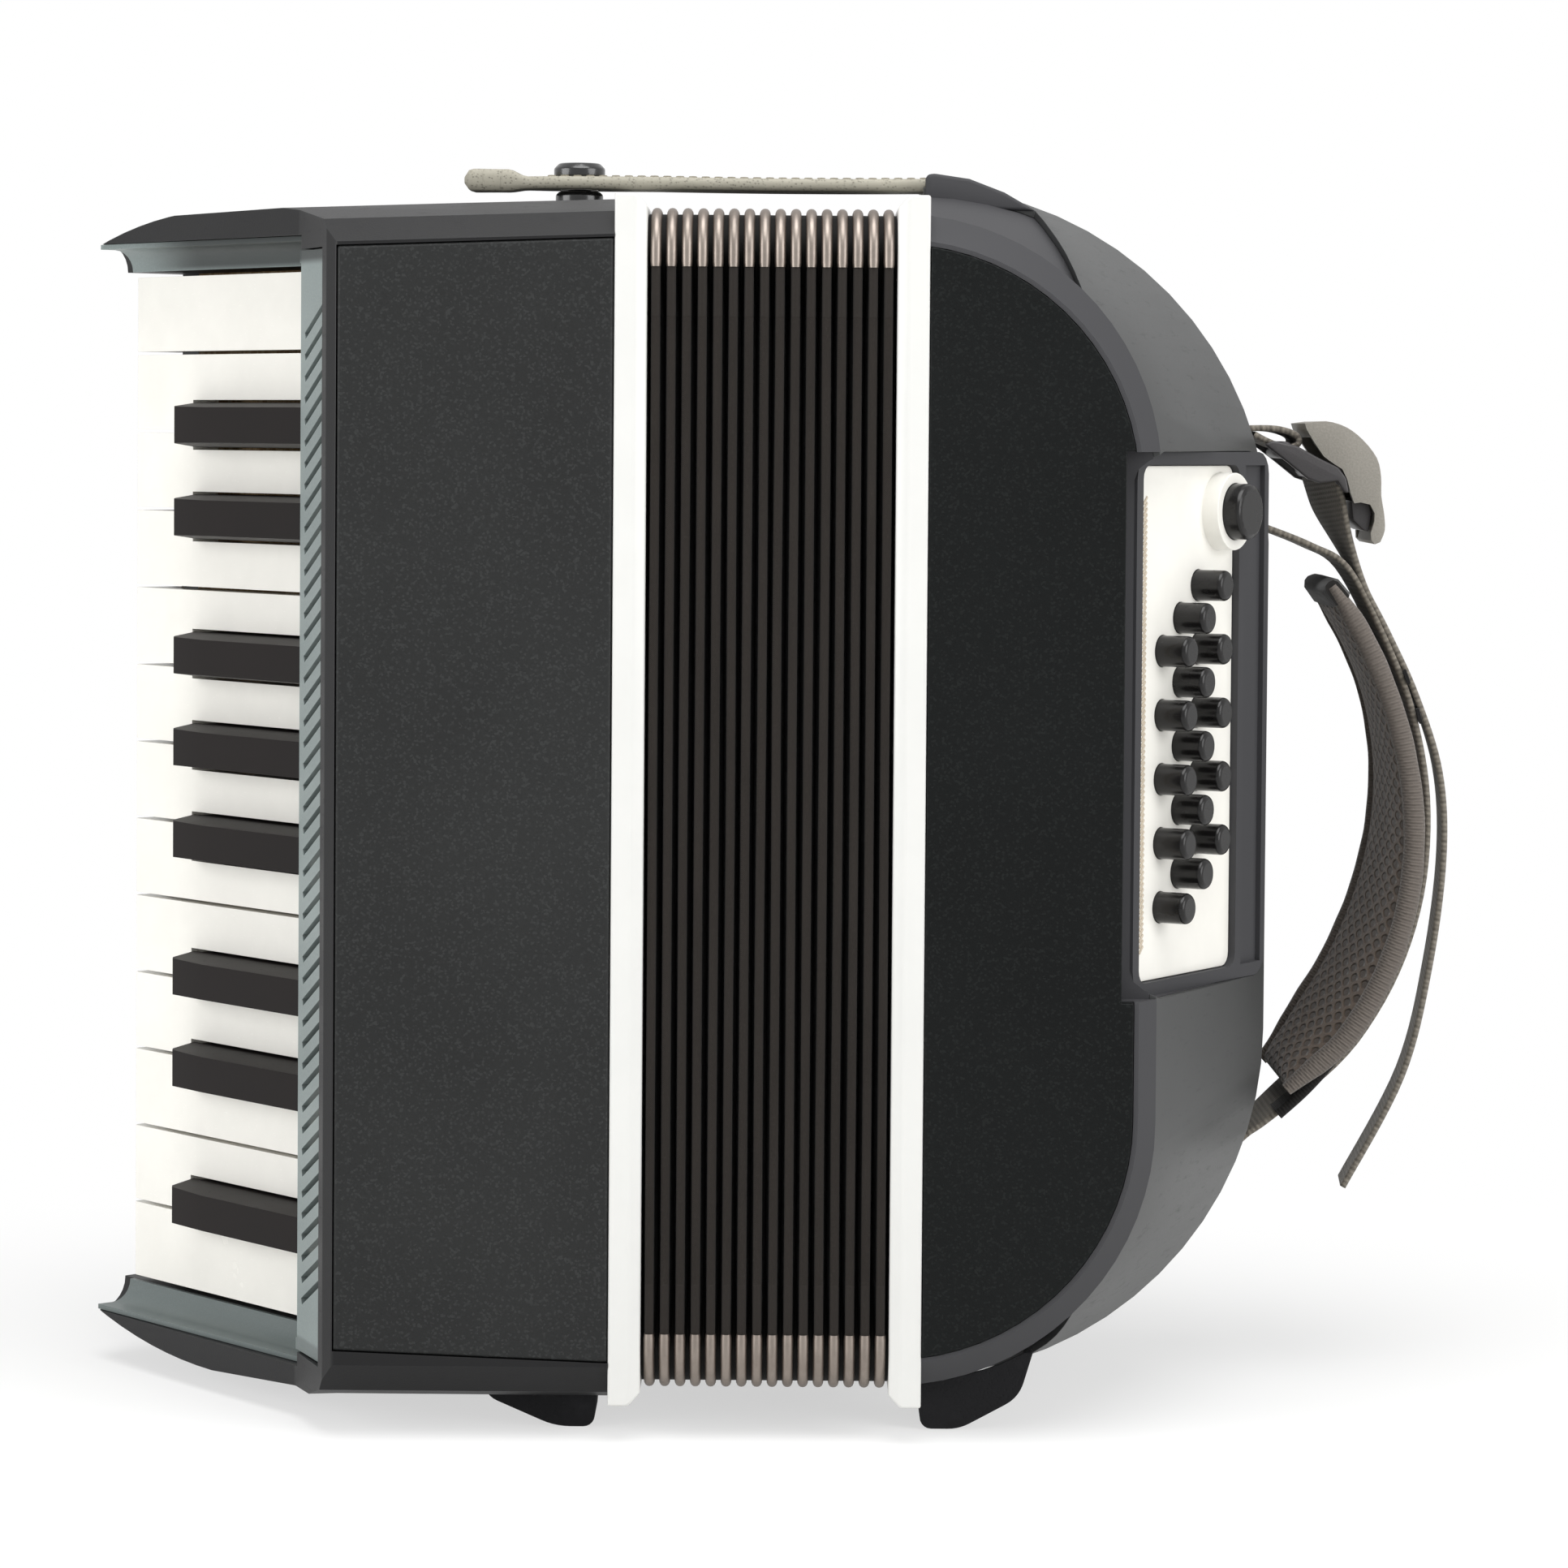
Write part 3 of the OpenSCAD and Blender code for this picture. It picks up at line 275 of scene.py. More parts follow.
def speckled(name, colour, fleck, rough=0.5, gloss=0.2, size=0.45):
    """Textured paint with small pale and dark flecks."""
    f = new_finish(name)
    at = f.place()
    cell = f.cells(at, 1 / (size * MM), "Color")
    pick = f.parts(cell)[0]
    grit = f.noise(at, 1 / (0.3 * MM), 3.0, 0.65)
    cloud = f.noise(at, 14.0, 3.0, 0.5)
    tone = f.mix(cloud.ease(0.3, 0.7), shade_of(colour, 0.86), shade_of(colour, 1.12))
    tone = f.mix(pick.ease(0.72, 0.98) * 0.25, tone, fleck)
    tone = f.mix((1 - pick).ease(0.74, 0.98) * 0.22, tone, shade_of(colour, 0.6))
    tone = f.mix(grit.ease(0.45, 0.75) * 0.18, tone, shade_of(colour, 1.6))
    tone = f.mix(f.edges(0.5 * MM) * 0.35, tone, shade_of(colour, 2.4))
    return f.close(tone, rough + 0.2 * (grit - 0.5), grit * 0.7 + pick * 0.3, 0.05 * MM,
                   Specular_IOR_Level=gloss)


def timber(name, pale, dark):
    """Planed softwood with long grain up the piece."""
    f = new_finish(name)
    at = f.place()
    long = f.stretch(at, (1.0, 1.0, 0.08))
    ring = f.noise(long, 260.0, 4.0, 0.6)
    pore = f.noise(f.stretch(at, (1.0, 1.0, 0.05)), 2200.0, 2.0, 0.5).ease(0.6, 0.75)
    band = ((ring * 26.0).sine() * 0.5 + 0.5)
    tone = f.mix(band * 0.8, pale, dark)
    tone = f.mix(pore * 0.5, tone, shade_of(dark, 0.55))
    return f.close(tone, 0.62 + 0.15 * band, ring + 0.4 * pore, 0.08 * MM,
                   Specular_IOR_Level=0.3)


def drawn_metal(name, colour, rough=0.3, stretch=(1.0, 1.0, 0.03), tarnish=0.5, bite=0.012):
    """Plated or drawn metal with fine draw lines and a soft tarnish."""
    f = new_finish(name)
    at = f.place()
    lines = f.noise(f.stretch(at, stretch), 5200.0, 2.0, 0.5)
    cloud = f.noise(at, 180.0, 4.0, 0.6)
    tone = f.mix(cloud.ease(0.35, 0.75) * tarnish, colour, shade_of(colour, 0.62))
    tone = f.mix(lines.ease(0.3, 0.8) * 0.25, tone, shade_of(colour, 1.2))
    return f.close(tone, rough + 0.16 * (lines - 0.5) + 0.12 * cloud, lines, bite * MM,
                   Metallic=1.0)


def rubber(name, colour):
    """Dull rubber with a dusty bloom and tiny pits."""
    f = new_finish(name)
    at = f.place()
    pits = f.cells(at, 1400.0)
    dust = f.noise(at, 70.0, 4.0, 0.65)
    tone = f.mix(dust.ease(0.45, 0.8) * 0.5, colour, shade_of(colour, 2.6))
    return f.close(tone, 0.78 + 0.12 * dust, pits.ease(0.05, 0.5), 0.06 * MM,
                   Specular_IOR_Level=0.25)


def fold_cloth(name, colour, valley_shade, gusset):
    """Cloth over card: painted shade on the flanks and in the valleys, paler ridges where they
    are rubbed, smoother tape near the corners."""
    f = new_finish(name)
    at = f.place()
    x, y, z = f.parts(at)
    depth = f.parts(f.run())[0]
    thread = ((z * (2 * math.pi / (0.42 * MM))).sine()
              * ((x + y) * (2 * math.pi / (0.42 * MM))).sine())
    fuzz = f.noise(at, 1500.0, 3.0, 0.65)
    rub = f.noise(f.stretch(at, (1.0, 1.0, 0.2)), 240.0, 3.0, 0.6)
    ridge = 1 - depth.ease(0.05 * MM, 1.5 * MM)
    deep = depth.ease(0.9 * MM, 3.2 * MM)
    far = abs(z - MIDDLE_Z * MM)
    taped = far.ease((FOLDS_HIGH[2] - MIDDLE_Z - 23.4) * MM,
                     (FOLDS_HIGH[2] - MIDDLE_Z - 23.0) * MM)
    # Painted shade: the flanks away from each ridge's edge are darkened; rub varies the paler
    # ridges as wear.
    tone = f.mix(ridge * (0.45 + 0.75 * rub), shade_of(colour, 0.45), colour)
    tone = f.mix(taped * 0.45, tone, gusset)
    # Painted shade deep in the valleys, in the dark valley colour.
    tone = f.mix(deep, tone, valley_shade)
    tone = f.mix(fuzz.ease(0.5, 0.8) * 0.3 * ridge, tone, shade_of(colour, 1.7))
    height = 0.5 * thread * (1 - 0.7 * taped) + 0.7 * fuzz + 2.2 * taped
    return f.close(tone, 0.72 - 0.14 * taped + 0.1 * fuzz, height, 0.03 * MM,
                   Specular_IOR_Level=0.12, Sheen_Weight=0.05, Sheen_Roughness=0.5)


def woven(name, colour, rib=1.15, dark=0.45):
    """Strap webbing: ribs across and warp threads along."""
    f = new_finish(name)
    along, across = f.parts(f.run())[:2]
    rib_wave = (along * (2 * math.pi / (rib * MM))).sine()
    warp = ((across * (2 * math.pi / (1.5 * MM))).sine()
            * (along * (math.pi / (rib * MM))).sine())
    fuzz = f.noise(f.place(), 1300.0, 3.0, 0.65)
    weave = 0.5 + 0.28 * rib_wave + 0.28 * warp
    tone = f.mix(weave, shade_of(colour, dark), shade_of(colour, 1.15))
    tone = f.mix(fuzz.ease(0.45, 0.8) * 0.4, tone, shade_of(colour, 1.55))
    return f.close(tone, 0.74 + 0.12 * fuzz, weave + 0.5 * fuzz, 0.16 * MM,
                   Specular_IOR_Level=0.2, Sheen_Weight=0.2, Sheen_Roughness=0.5)


def mesh_lining(name, thread, hole):
    """Spacer mesh: a net of threads round diamond holes, painted dark as shade inside them."""
    f = new_finish(name)
    along, across = f.parts(f.run())[:2]
    first = (along / (7.6 * MM) + across / (13.5 * MM)) * (2 * math.pi)
    second = (along / (7.6 * MM) - across / (13.5 * MM)) * (2 * math.pi)
    net = first.sine() * second.sine()
    hole_shade_share = abs(net).ease(0.2, 0.7)
    fine = f.noise(f.place(), 1500.0, 3.0, 0.65)
    cloud = f.noise(f.place(), 60.0, 2.0, 0.5)
    tone = f.mix(fine * 0.8, shade_of(thread, 0.72), shade_of(thread, 1.25))
    # Painted shade in the holes: the hole colour is a darker copy of the lining.
    tone = f.mix(hole_shade_share * (0.6 + 0.35 * cloud), tone, hole)
    return f.close(tone, 0.8 + 0.1 * fine, (1 - hole_shade_share) + 0.35 * fine, 0.45 * MM,
                   Specular_IOR_Level=0.15, Sheen_Weight=0.25, Sheen_Roughness=0.5)


def hide(name, colour, rough=0.52):
    """Leatherette: pebbled grain, creases across the strap with painted shade in them, rubbed
    high spots.
    """
    f = new_finish(name)
    at = f.place()
    pebble = f.cells(at, 1250.0)
    crease_and_shade = f.noise(f.stretch(at, (2.6, 0.35, 0.35)), 240.0, 4.0, 0.65)
    rub = f.noise(at, 90.0, 3.0, 0.6)
    tone = f.mix(pebble.ease(0.05, 0.5), shade_of(colour, 0.7), shade_of(colour, 1.06))
    tone = f.mix(rub.ease(0.45, 0.8) * 0.4, tone, shade_of(colour, 1.3))
    # Painted shade in the creases, which the bump also dents.
    tone = f.mix(crease_and_shade.ease(0.6, 0.75) * 0.35, tone, shade_of(colour, 0.55))
    return f.close(tone, rough + 0.12 * rub, pebble.ease(0.02, 0.4) - 0.8 * crease_and_shade.ease(
        0.58, 0.74), 0.09 * MM, Specular_IOR_Level=0.35)


# ------------------------------------------------------------ shapes

def new_piece(name, points, faces, finish, slot, run=None, smooth=True, sharp=None):
    """A mesh piece from points in millimetres."""
    mesh = bpy.data.meshes.new(name)
    mesh.from_pydata([(p[0] * MM, p[1] * MM, p[2] * MM) for p in points], [], faces)
    if run is not None:
        layer = mesh.attributes.new("run", "FLOAT_VECTOR", "POINT")
        layer.data.foreach_set("vector", [c * MM for r in run for c in r])
    tidy = bmesh.new()
    tidy.from_mesh(mesh)
    bmesh.ops.recalc_face_normals(tidy, faces=tidy.faces)
    tidy.to_mesh(mesh)
    tidy.free()
    piece = bpy.data.objects.new(name, mesh)
    bpy.context.scene.collection.objects.link(piece)
    mesh.materials.append(finish)
    mesh.polygons.foreach_set("use_smooth", [smooth] * len(mesh.polygons))
    if sharp is not None:
        mesh.set_sharp_from_angle(angle=math.radians(sharp))
    return piece


def round_edges(piece, width, angle=30.0, segments=2):
    """Rounds a piece's hard edges."""
    work = bmesh.new()
    work.from_mesh(piece.data)
    hard = [e for e in work.edges
            if len(e.link_faces) == 2 and e.calc_face_angle(0.0) > math.radians(angle)]
    bmesh.ops.bevel(work, geom=hard, offset=width * MM, offset_type="OFFSET",
                    segments=segments, profile=0.5, affect="EDGES", clamp_overlap=True)
    work.to_mesh(piece.data)
    work.free()
    piece.data.polygons.foreach_set("use_smooth", [True] * len(piece.data.polygons))
    piece.data.set_sharp_from_angle(angle=math.radians(40))
    return piece


def settle(piece):
    """Makes a piece's modifiers part of its mesh."""
    bpy.context.view_layer.update()
    seen = piece.evaluated_get(bpy.context.evaluated_depsgraph_get())
    mesh = bpy.data.meshes.new_from_object(seen)
    piece.modifiers.clear()
    piece.data = mesh
    return piece


def cut_away(piece, points, faces):
    """Cuts a closed shape out of a piece."""
    mesh = bpy.data.meshes.new("cutter")
    mesh.from_pydata([(p[0] * MM, p[1] * MM, p[2] * MM) for p in points], [], faces)
    tool = bpy.data.objects.new("cutter", mesh)
    bpy.context.scene.collection.objects.link(tool)
    cut = piece.modifiers.new("cut", "BOOLEAN")
    cut.operation = "DIFFERENCE"
    cut.solver = "EXACT"
    cut.object = tool
    settle(piece)
    bpy.data.objects.remove(tool, do_unlink=True)
    return piece


def lathe(profile, steps=32):
    """Points and faces of an outline (radius, height) turned about Z."""
    points, faces, rings = [], [], []
    for radius, height in profile:
        if radius < 1e-6:
            rings.append([len(points)] * steps)
            points.append((0.0, 0.0, height))
        else:
            rings.append(list(range(len(points), len(points) + steps)))
            points += [(radius * math.cos(2 * math.pi * k / steps),
                        radius * math.sin(2 * math.pi * k / steps), height)
                       for k in range(steps)]
    for low, high in zip(rings, rings[1:]):
        for k in range(steps):
            n = (k + 1) % steps
            face = [low[k], low[n], high[n], high[k]]
            face = [v for i, v in enumerate(face) if v not in face[:i]]
            if len(face) > 2:
                faces.append(face)
    return points, faces


def block(low, high):
    """Points and faces of a box."""
    xs, ys, zs = zip(low, high)
    points = [(x, y, z) for x in xs for y in ys for z in zs]
    return points, [(0, 1, 3, 2), (4, 6, 7, 5), (0, 4, 5, 1), (2, 3, 7, 6),
                    (0, 2, 6, 4), (1, 5, 7, 3)]


def prism(outline, low, high, x=0.0, z=0.0):
    """Points and faces of an outline in X and Z, moved by x and z, between two Y."""
    count = len(outline)
    points = [(x + a, y, z + b) for y in (low, high) for a, b in outline]
    faces = [list(range(count))[::-1], list(range(count, 2 * count))]
    faces += [(k, (k + 1) % count, count + (k + 1) % count, count + k) for k in range(count)]
    return points, faces


def joined(*shapes):
    """Several shapes as one."""
    points, faces = [], []
    for more_points, more_faces in shapes:
        first = len(points)
        points += list(more_points)
        faces += [[first + v for v in face] for face in more_faces]
    return points, faces


def placed(shape, matrix):
    points, faces = shape
    return [tuple(matrix @ Vector(p)) for p in points], faces


def smooth_run(knots, steps=6):
    """A smooth run of points through chosen points."""
    knots = [Vector(k) for k in knots]
    out = []
    for i in range(len(knots) - 1):
        a, b = knots[max(i - 1, 0)], knots[i]
        c, e = knots[i + 1], knots[min(i + 2, len(knots) - 1)]
        for k in range(steps):
            t = k / steps
            out.append(0.5 * (2 * b + (c - a) * t + (2 * a - 5 * b + 4 * c - e) * t * t
                              + (3 * b - a - 3 * c + e) * t ** 3))
    out.append(knots[-1])
    return out


def clamped(t):
    return max(0.0, min(1.0, t))


def eased(t):
    """Turns an even 0 to 1 into one that is slow at both ends."""
    return t * t * (3 - 2 * t)


def sweep(path, sides, section):
    """A section carried along a path. sides gives (across, up) at each point; the result
    is points, faces and each point's place as (along, across, up)."""
    shaped = section if callable(section) else lambda share: section
    count = len(shaped(0.0))
    points, faces, run = [], [], []
    gone = 0.0
    for i, at in enumerate(path):
        if i:
            gone += (at - path[i - 1]).length
        across, up = sides[i]
        for a, b in shaped(i / (len(path) - 1)):
            points.append(tuple(at + across * a + up * b))
            run.append((gone, a, b))
    for i in range(len(path) - 1):
        for k in range(count):
            n = (k + 1) % count
            faces.append((i * count + k, i * count + n,
                          (i + 1) * count + n, (i + 1) * count + k))
    faces.append(tuple(range(count))[::-1])
    last = (len(path) - 1) * count
    faces.append(tuple(range(last, last + count)))
    return points, faces, run


def strip(name, path, sides, section, finish, slot):
    """A piece of strap: a section carried along a path, riding the bass side."""
    points, faces, run = sweep(path, sides, section)
    piece = new_piece(name, points, faces, finish, slot, run, sharp=60)
    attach(piece, "bass")
    return piece


def strap_sides(path, twist=lambda i: 0.0, across=Vector((0, 1, 0))):
    """The across and up directions of a strap that runs in X and Z, turned by a twist."""
    out = []
    for i in range(len(path)):
        along = (path[min(i + 1, len(path) - 1)] - path[max(i - 1, 0)]).normalized()
        up = along.cross(across).normalized()
        turn = Matrix.Rotation(twist(i), 3, along)
        out.append((turn @ across, turn @ up))
    return out


def flat_section(width, thick, edge=0.6):
    """The section of a flat strap with soft edges."""
    w, t = width / 2, thick / 2
    return [(-w, -t * 0.35), (-w + edge * 0.4, -t * 0.85), (-w + edge, -t), (-w * 0.4, -t),
            (w * 0.4, -t), (w - edge, -t), (w - edge * 0.4, -t * 0.85), (w, -t * 0.35),
            (w, t * 0.35), (w - edge * 0.4, t * 0.85), (w - edge, t), (w * 0.4, t),
            (-w * 0.4, t), (-w + edge, t), (-w + edge * 0.4, t * 0.85), (-w, t * 0.35)]


def dress(node, finish):
    """Gives a CAD node its finish."""
    slots = frame["nodes"][node].material_slots
    if not slots:
        raise RuntimeError(f"{node} has no place for a finish")
    for slot in slots:
        slot.material = finish


def soften(node, width, angle=24.0, segments=2):
    """Rounds the hard edges of a CAD node as it shows, and evens its shading."""
    piece = frame["nodes"][node]
    weld = piece.modifiers.new("weld", "WELD")
    weld.merge_threshold = 0.00001
    flat = piece.modifiers.new("flat", "DECIMATE")
    flat.decimate_type = "DISSOLVE"
    flat.angle_limit = math.radians(0.6)
    edge = piece.modifiers.new("edge", "BEVEL")
    edge.width = width * MM
    edge.segments = segments
    edge.limit_method = "ANGLE"
    edge.angle_limit = math.radians(angle)
    edge.use_clamp_overlap = True
    shade = piece.modifiers.new("shade", "WEIGHTED_NORMAL")
    shade.weight = 80
    shade.keep_sharp = False


# ------------------------------------------------------------ properties

def colour_of(name, description, red, green, blue):
    return FloatVectorProperty(name=name, description=description, size=3, subtype="COLOR",
                               min=0.0, max=1.0, default=tint(red, green, blue))


def length_of(name, description, value):
    return FloatProperty(name=name, description=description, unit="LENGTH",
                         subtype="DISTANCE", default=value * MM, min=0.0, precision=5)


class AccordionColours(bpy.types.PropertyGroup):
    key_white: colour_of("White keys", "Colour of the white key tops", 247, 245, 238)
    key_black: colour_of("Black keys", "Colour of the black keys", 22, 18, 17)
    casing: colour_of("Casings", "Colour of both casings", 29, 29, 30)
    treble_cover: colour_of("Treble cover", "Paint of the flat treble cover", 37, 38, 38)
    bass_cover: colour_of("Bass cover", "Paint of the bass cover", 18, 20, 20)
    surround: colour_of("Surround", "Louvre strip and the coves beside the keys", 127, 137, 136)
    band: colour_of("Side band", "Band round the bass casing", 62, 63, 63)
    frame: colour_of("Frames", "Lacquer of the two bellows frames", 231, 231, 228)
    plate: colour_of("Button plate", "Plate behind the bass buttons", 249, 247, 240)
    button: colour_of("Buttons", "Bass buttons and air button", 18, 17, 17)
    # The ridges' own colour; fold_cloth darkens the flanks with painted shade.
    cloth: colour_of("Fold cloth", "Rubbed ridges of the bellows folds", 44, 40, 37)
    # Painted shade: the colour deep in the folds' valleys.
    valley_shade: colour_of("Fold valley", "Inside of the bellows folds", 10, 9, 8)
    corner: colour_of("Corner metal", "Metal caps on the folds' corners", 152, 142, 134)
    strap: colour_of("Bellows strap", "Leatherette of the bellows strap", 167, 163, 149)
    lining: colour_of("Lining", "Mesh lining of the hand strap", 108, 94, 82)
    binding: colour_of("Binding", "Tape round the pad's edges", 103, 96, 90)
    webbing: colour_of("Webbing", "Hand strap webbing", 130, 124, 114)
    buckle: colour_of("Buckle tab", "Tab of the hand strap's buckle", 146, 142, 134)
    buckle_body: colour_of("Buckle", "Body of the buckle", 66, 64, 65)
    rubber: colour_of("Feet", "Rubber feet", 34, 34, 36)
    wood_pale: colour_of("Pale wood", "Early wood of the reed blocks", 214, 184, 142)
    wood_dark: colour_of("Dark wood", "Late wood of the reed blocks", 176, 137, 92)
    steel: colour_of("Steel", "Hinge rod and screws", 190, 190, 192)


class AccordionSizes(bpy.types.PropertyGroup):
    edge: length_of("Edge", "Rounding of the casings' hard edges", 0.55)
    key_edge: length_of("Key edge", "Rounding of the keys' edges", 0.45)
    fold_corner: length_of("Fold corner", "Radius of the folds' corners", 9.0)
    cap_reach: length_of("Cap length", "Length of a corner cap along each side", 12.5)
    cap_wide: length_of("Cap width", "Width of a corner cap", 2.4)
    ridge_wide: length_of("Ridge width", "Width of a fold's outer edge", 1.95)
    gusset: length_of("Gusset depth", "Depth of the grooves round the folds' corners", 1.1)
    wave: length_of("Wave", "How far the ridges waver", 0.1)
    strap_thick: length_of("Strap thickness", "Thickness of the bellows strap", 2.8)
    pad_wide: length_of("Pad width", "Width of the padded hand strap", 46.0)
    pad_thick: length_of("Pad thickness", "Thickness of the pad at its crown", 7.4)
    web_wide: length_of("Webbing width", "Width of the hand strap webbing", 25.0)
    web_thick: length_of("Webbing thickness", "Thickness of the webbing", 1.4)
    folds: IntProperty(name="Folds", description="Number of bellows folds",
                       default=16, min=4, max=24)
    pad_twist: FloatProperty(name="Pad twist", description="Turn of the pad near its lower end",
                             subtype="ANGLE", default=math.radians(10.0))


class AccordionStage(bpy.types.PropertyGroup):
    floor: colour_of("Floor", "Colour of the pale floor", 246, 246, 245)
    room: FloatProperty(name="Room light", description="Strength of the even light",
                        default=0.38, min=0.0, max=1.0)
    key_lamp: FloatProperty(name="Key lamp", description="Power of the upper lamp, watts",
                            default=17.0, min=0.0)
    fill_lamp: FloatProperty(name="Fill lamp", description="Power of the side lamps, watts",
                             default=9.4, min=0.0)
    camera_at: FloatVectorProperty(name="Camera", description="Place of the camera",
                                   size=3, unit="LENGTH", subtype="TRANSLATION",
                                   default=(0.003, -1.11, 0.218))
    look_at: FloatVectorProperty(name="Looks at", description="Point that the camera faces",
                                 size=3, unit="LENGTH", subtype="TRANSLATION",
                                 default=(0.003, -0.07, 0.1803))
    roll: FloatProperty(name="Roll", description="Turn of the camera about its own axis",
                        subtype="ANGLE", default=math.radians(0.435))
    lens: FloatProperty(name="Lens", description="Focal length, millimetres",
                        default=111.8, min=10.0)
    shift: FloatProperty(name="Shift", description="Rise of the lens, as a share of its width",
                         default=-0.1128)


# ------------------------------------------------------------ operators

class StageBuild(bpy.types.Operator):
    """Sets the pale floor, the soft lamps and the camera"""
    bl_idname = "accordion.stage"
    bl_label = "Stage"

    def execute(self, context):
        look = context.scene.accordion_stage
        context.scene.view_settings.view_transform = "Standard"
        self.room(context, look)
        self.floor(look)
        self.lamp("upper_lamp", (0.1, -0.5, 1.45), 1.3, look.key_lamp)
        self.lamp("left_lamp", (-1.6, -0.7, 0.5), 1.2, look.fill_lamp * 1.5)
        self.lamp("right_lamp", (1.5, -0.9, 0.6), 1.2, look.fill_lamp * 1.35)
        eye = bpy.data.cameras.new("camera")
        eye.lens = look.lens
        eye.sensor_width = 36.0
        eye.shift_y = look.shift
        eye.clip_start = 0.02
        camera = bpy.data.objects.new("camera", eye)
        context.scene.collection.objects.link(camera)
        at = Vector(look.camera_at)
        turn = (Vector(look.look_at) - at).to_track_quat("-Z", "Y").to_matrix().to_4x4()
        camera.matrix_world = (Matrix.Translation(at) @ turn
                               @ Matrix.Rotation(look.roll, 4, "Z"))
        context.scene.camera = camera
        return {"FINISHED"}

    def seen(self, f):
        """1 for rays that show the background, less for reflections."""
        path = f.add("ShaderNodeLightPath").socket.node
        ways = [Term(f, path.outputs[n])
                for n in ("Is Camera Ray", "Is Transmission Ray", "Is Glossy Ray")]
        return ways[0].at_least(ways[1]).at_least(ways[2] * 0.6)

    def room(self, context, look):
        world = bpy.data.worlds.new("room")
        context.scene.world = world
        f = Finish(world)
        light = f.add("ShaderNodeBackground", None, {
            "Color": (1.0, 1.0, 1.0, 1.0),
            "Strength": look.room + (1 - look.room) * self.seen(f)})
        f.add("ShaderNodeOutputWorld", None, {"Surface": light})

    def floor(self, look):
        f = new_finish("pale_floor")
        x, y = f.parts(f.place())[:2]
        away = ((x * x) * 1.2 + (y * y) * 2.2) ** 0.5
        far = (0.6 + 0.4 * away.ease(0.16, 0.5)) * self.seen(f)
        grain = f.noise(f.place(), 300.0, 3.0, 0.6)
        tone = f.mix(grain * 0.5, shade_of(look.floor, 0.985), look.floor)
        cloth = f.add("ShaderNodeBsdfDiffuse", None, {"Color": tone, "Roughness": 0.8})
        white = f.add("ShaderNodeEmission", None, {
            "Color": (1.0, 1.0, 1.0, 1.0), "Strength": 1.0})
        both = f.add("ShaderNodeMixShader", None, {0: far, 1: cloth, 2: white})
        f.add("ShaderNodeOutputMaterial", None, {"Surface": both})
        mesh = bpy.data.meshes.new("floor")
        work = bmesh.new()
        bmesh.ops.create_grid(work, x_segments=8, y_segments=8, size=6.0)
        work.to_mesh(mesh)
        work.free()
        floor = bpy.data.objects.new("floor", mesh)
        floor.location = (0.0, 0.0, -0.0002)
        bpy.context.scene.collection.objects.link(floor)
        mesh.materials.append(f.owner)

    def lamp(self, name, at, size, power):
        data = bpy.data.lights.new(name, "AREA")
        data.shape = "DISK"
        data.size = size
        data.energy = power
        lamp = bpy.data.objects.new(name, data)
        bpy.context.scene.collection.objects.link(lamp)
        lamp.location = at
        aim = Vector((0.0, 0.0, 0.14)) - Vector(at)
        lamp.rotation_euler = aim.to_track_quat("-Z", "Y").to_euler()


class KeysBuild(bpy.types.Operator):
    """Finishes the white and black keys"""
    bl_idname = "accordion.keys"
    bl_label = "Keys"

    def execute(self, context):
        paint, size = context.scene.accordion_colours, context.scene.accordion_sizes
        white = glossy("key_white", paint.key_white, 0.2, 0.0, 0.4, 0.25, 1.03)
        black = glossy("key_black", paint.key_black, 0.45, 0.3, 0.13, 0.0, 1.25)
        for node in WHITE_KEYS:
            dress(node, white)
            soften(node, size.key_edge / MM)
        for node in BLACK_KEYS:
            dress(node, black)
            soften(node, size.key_edge / MM)
        return {"FINISHED"}


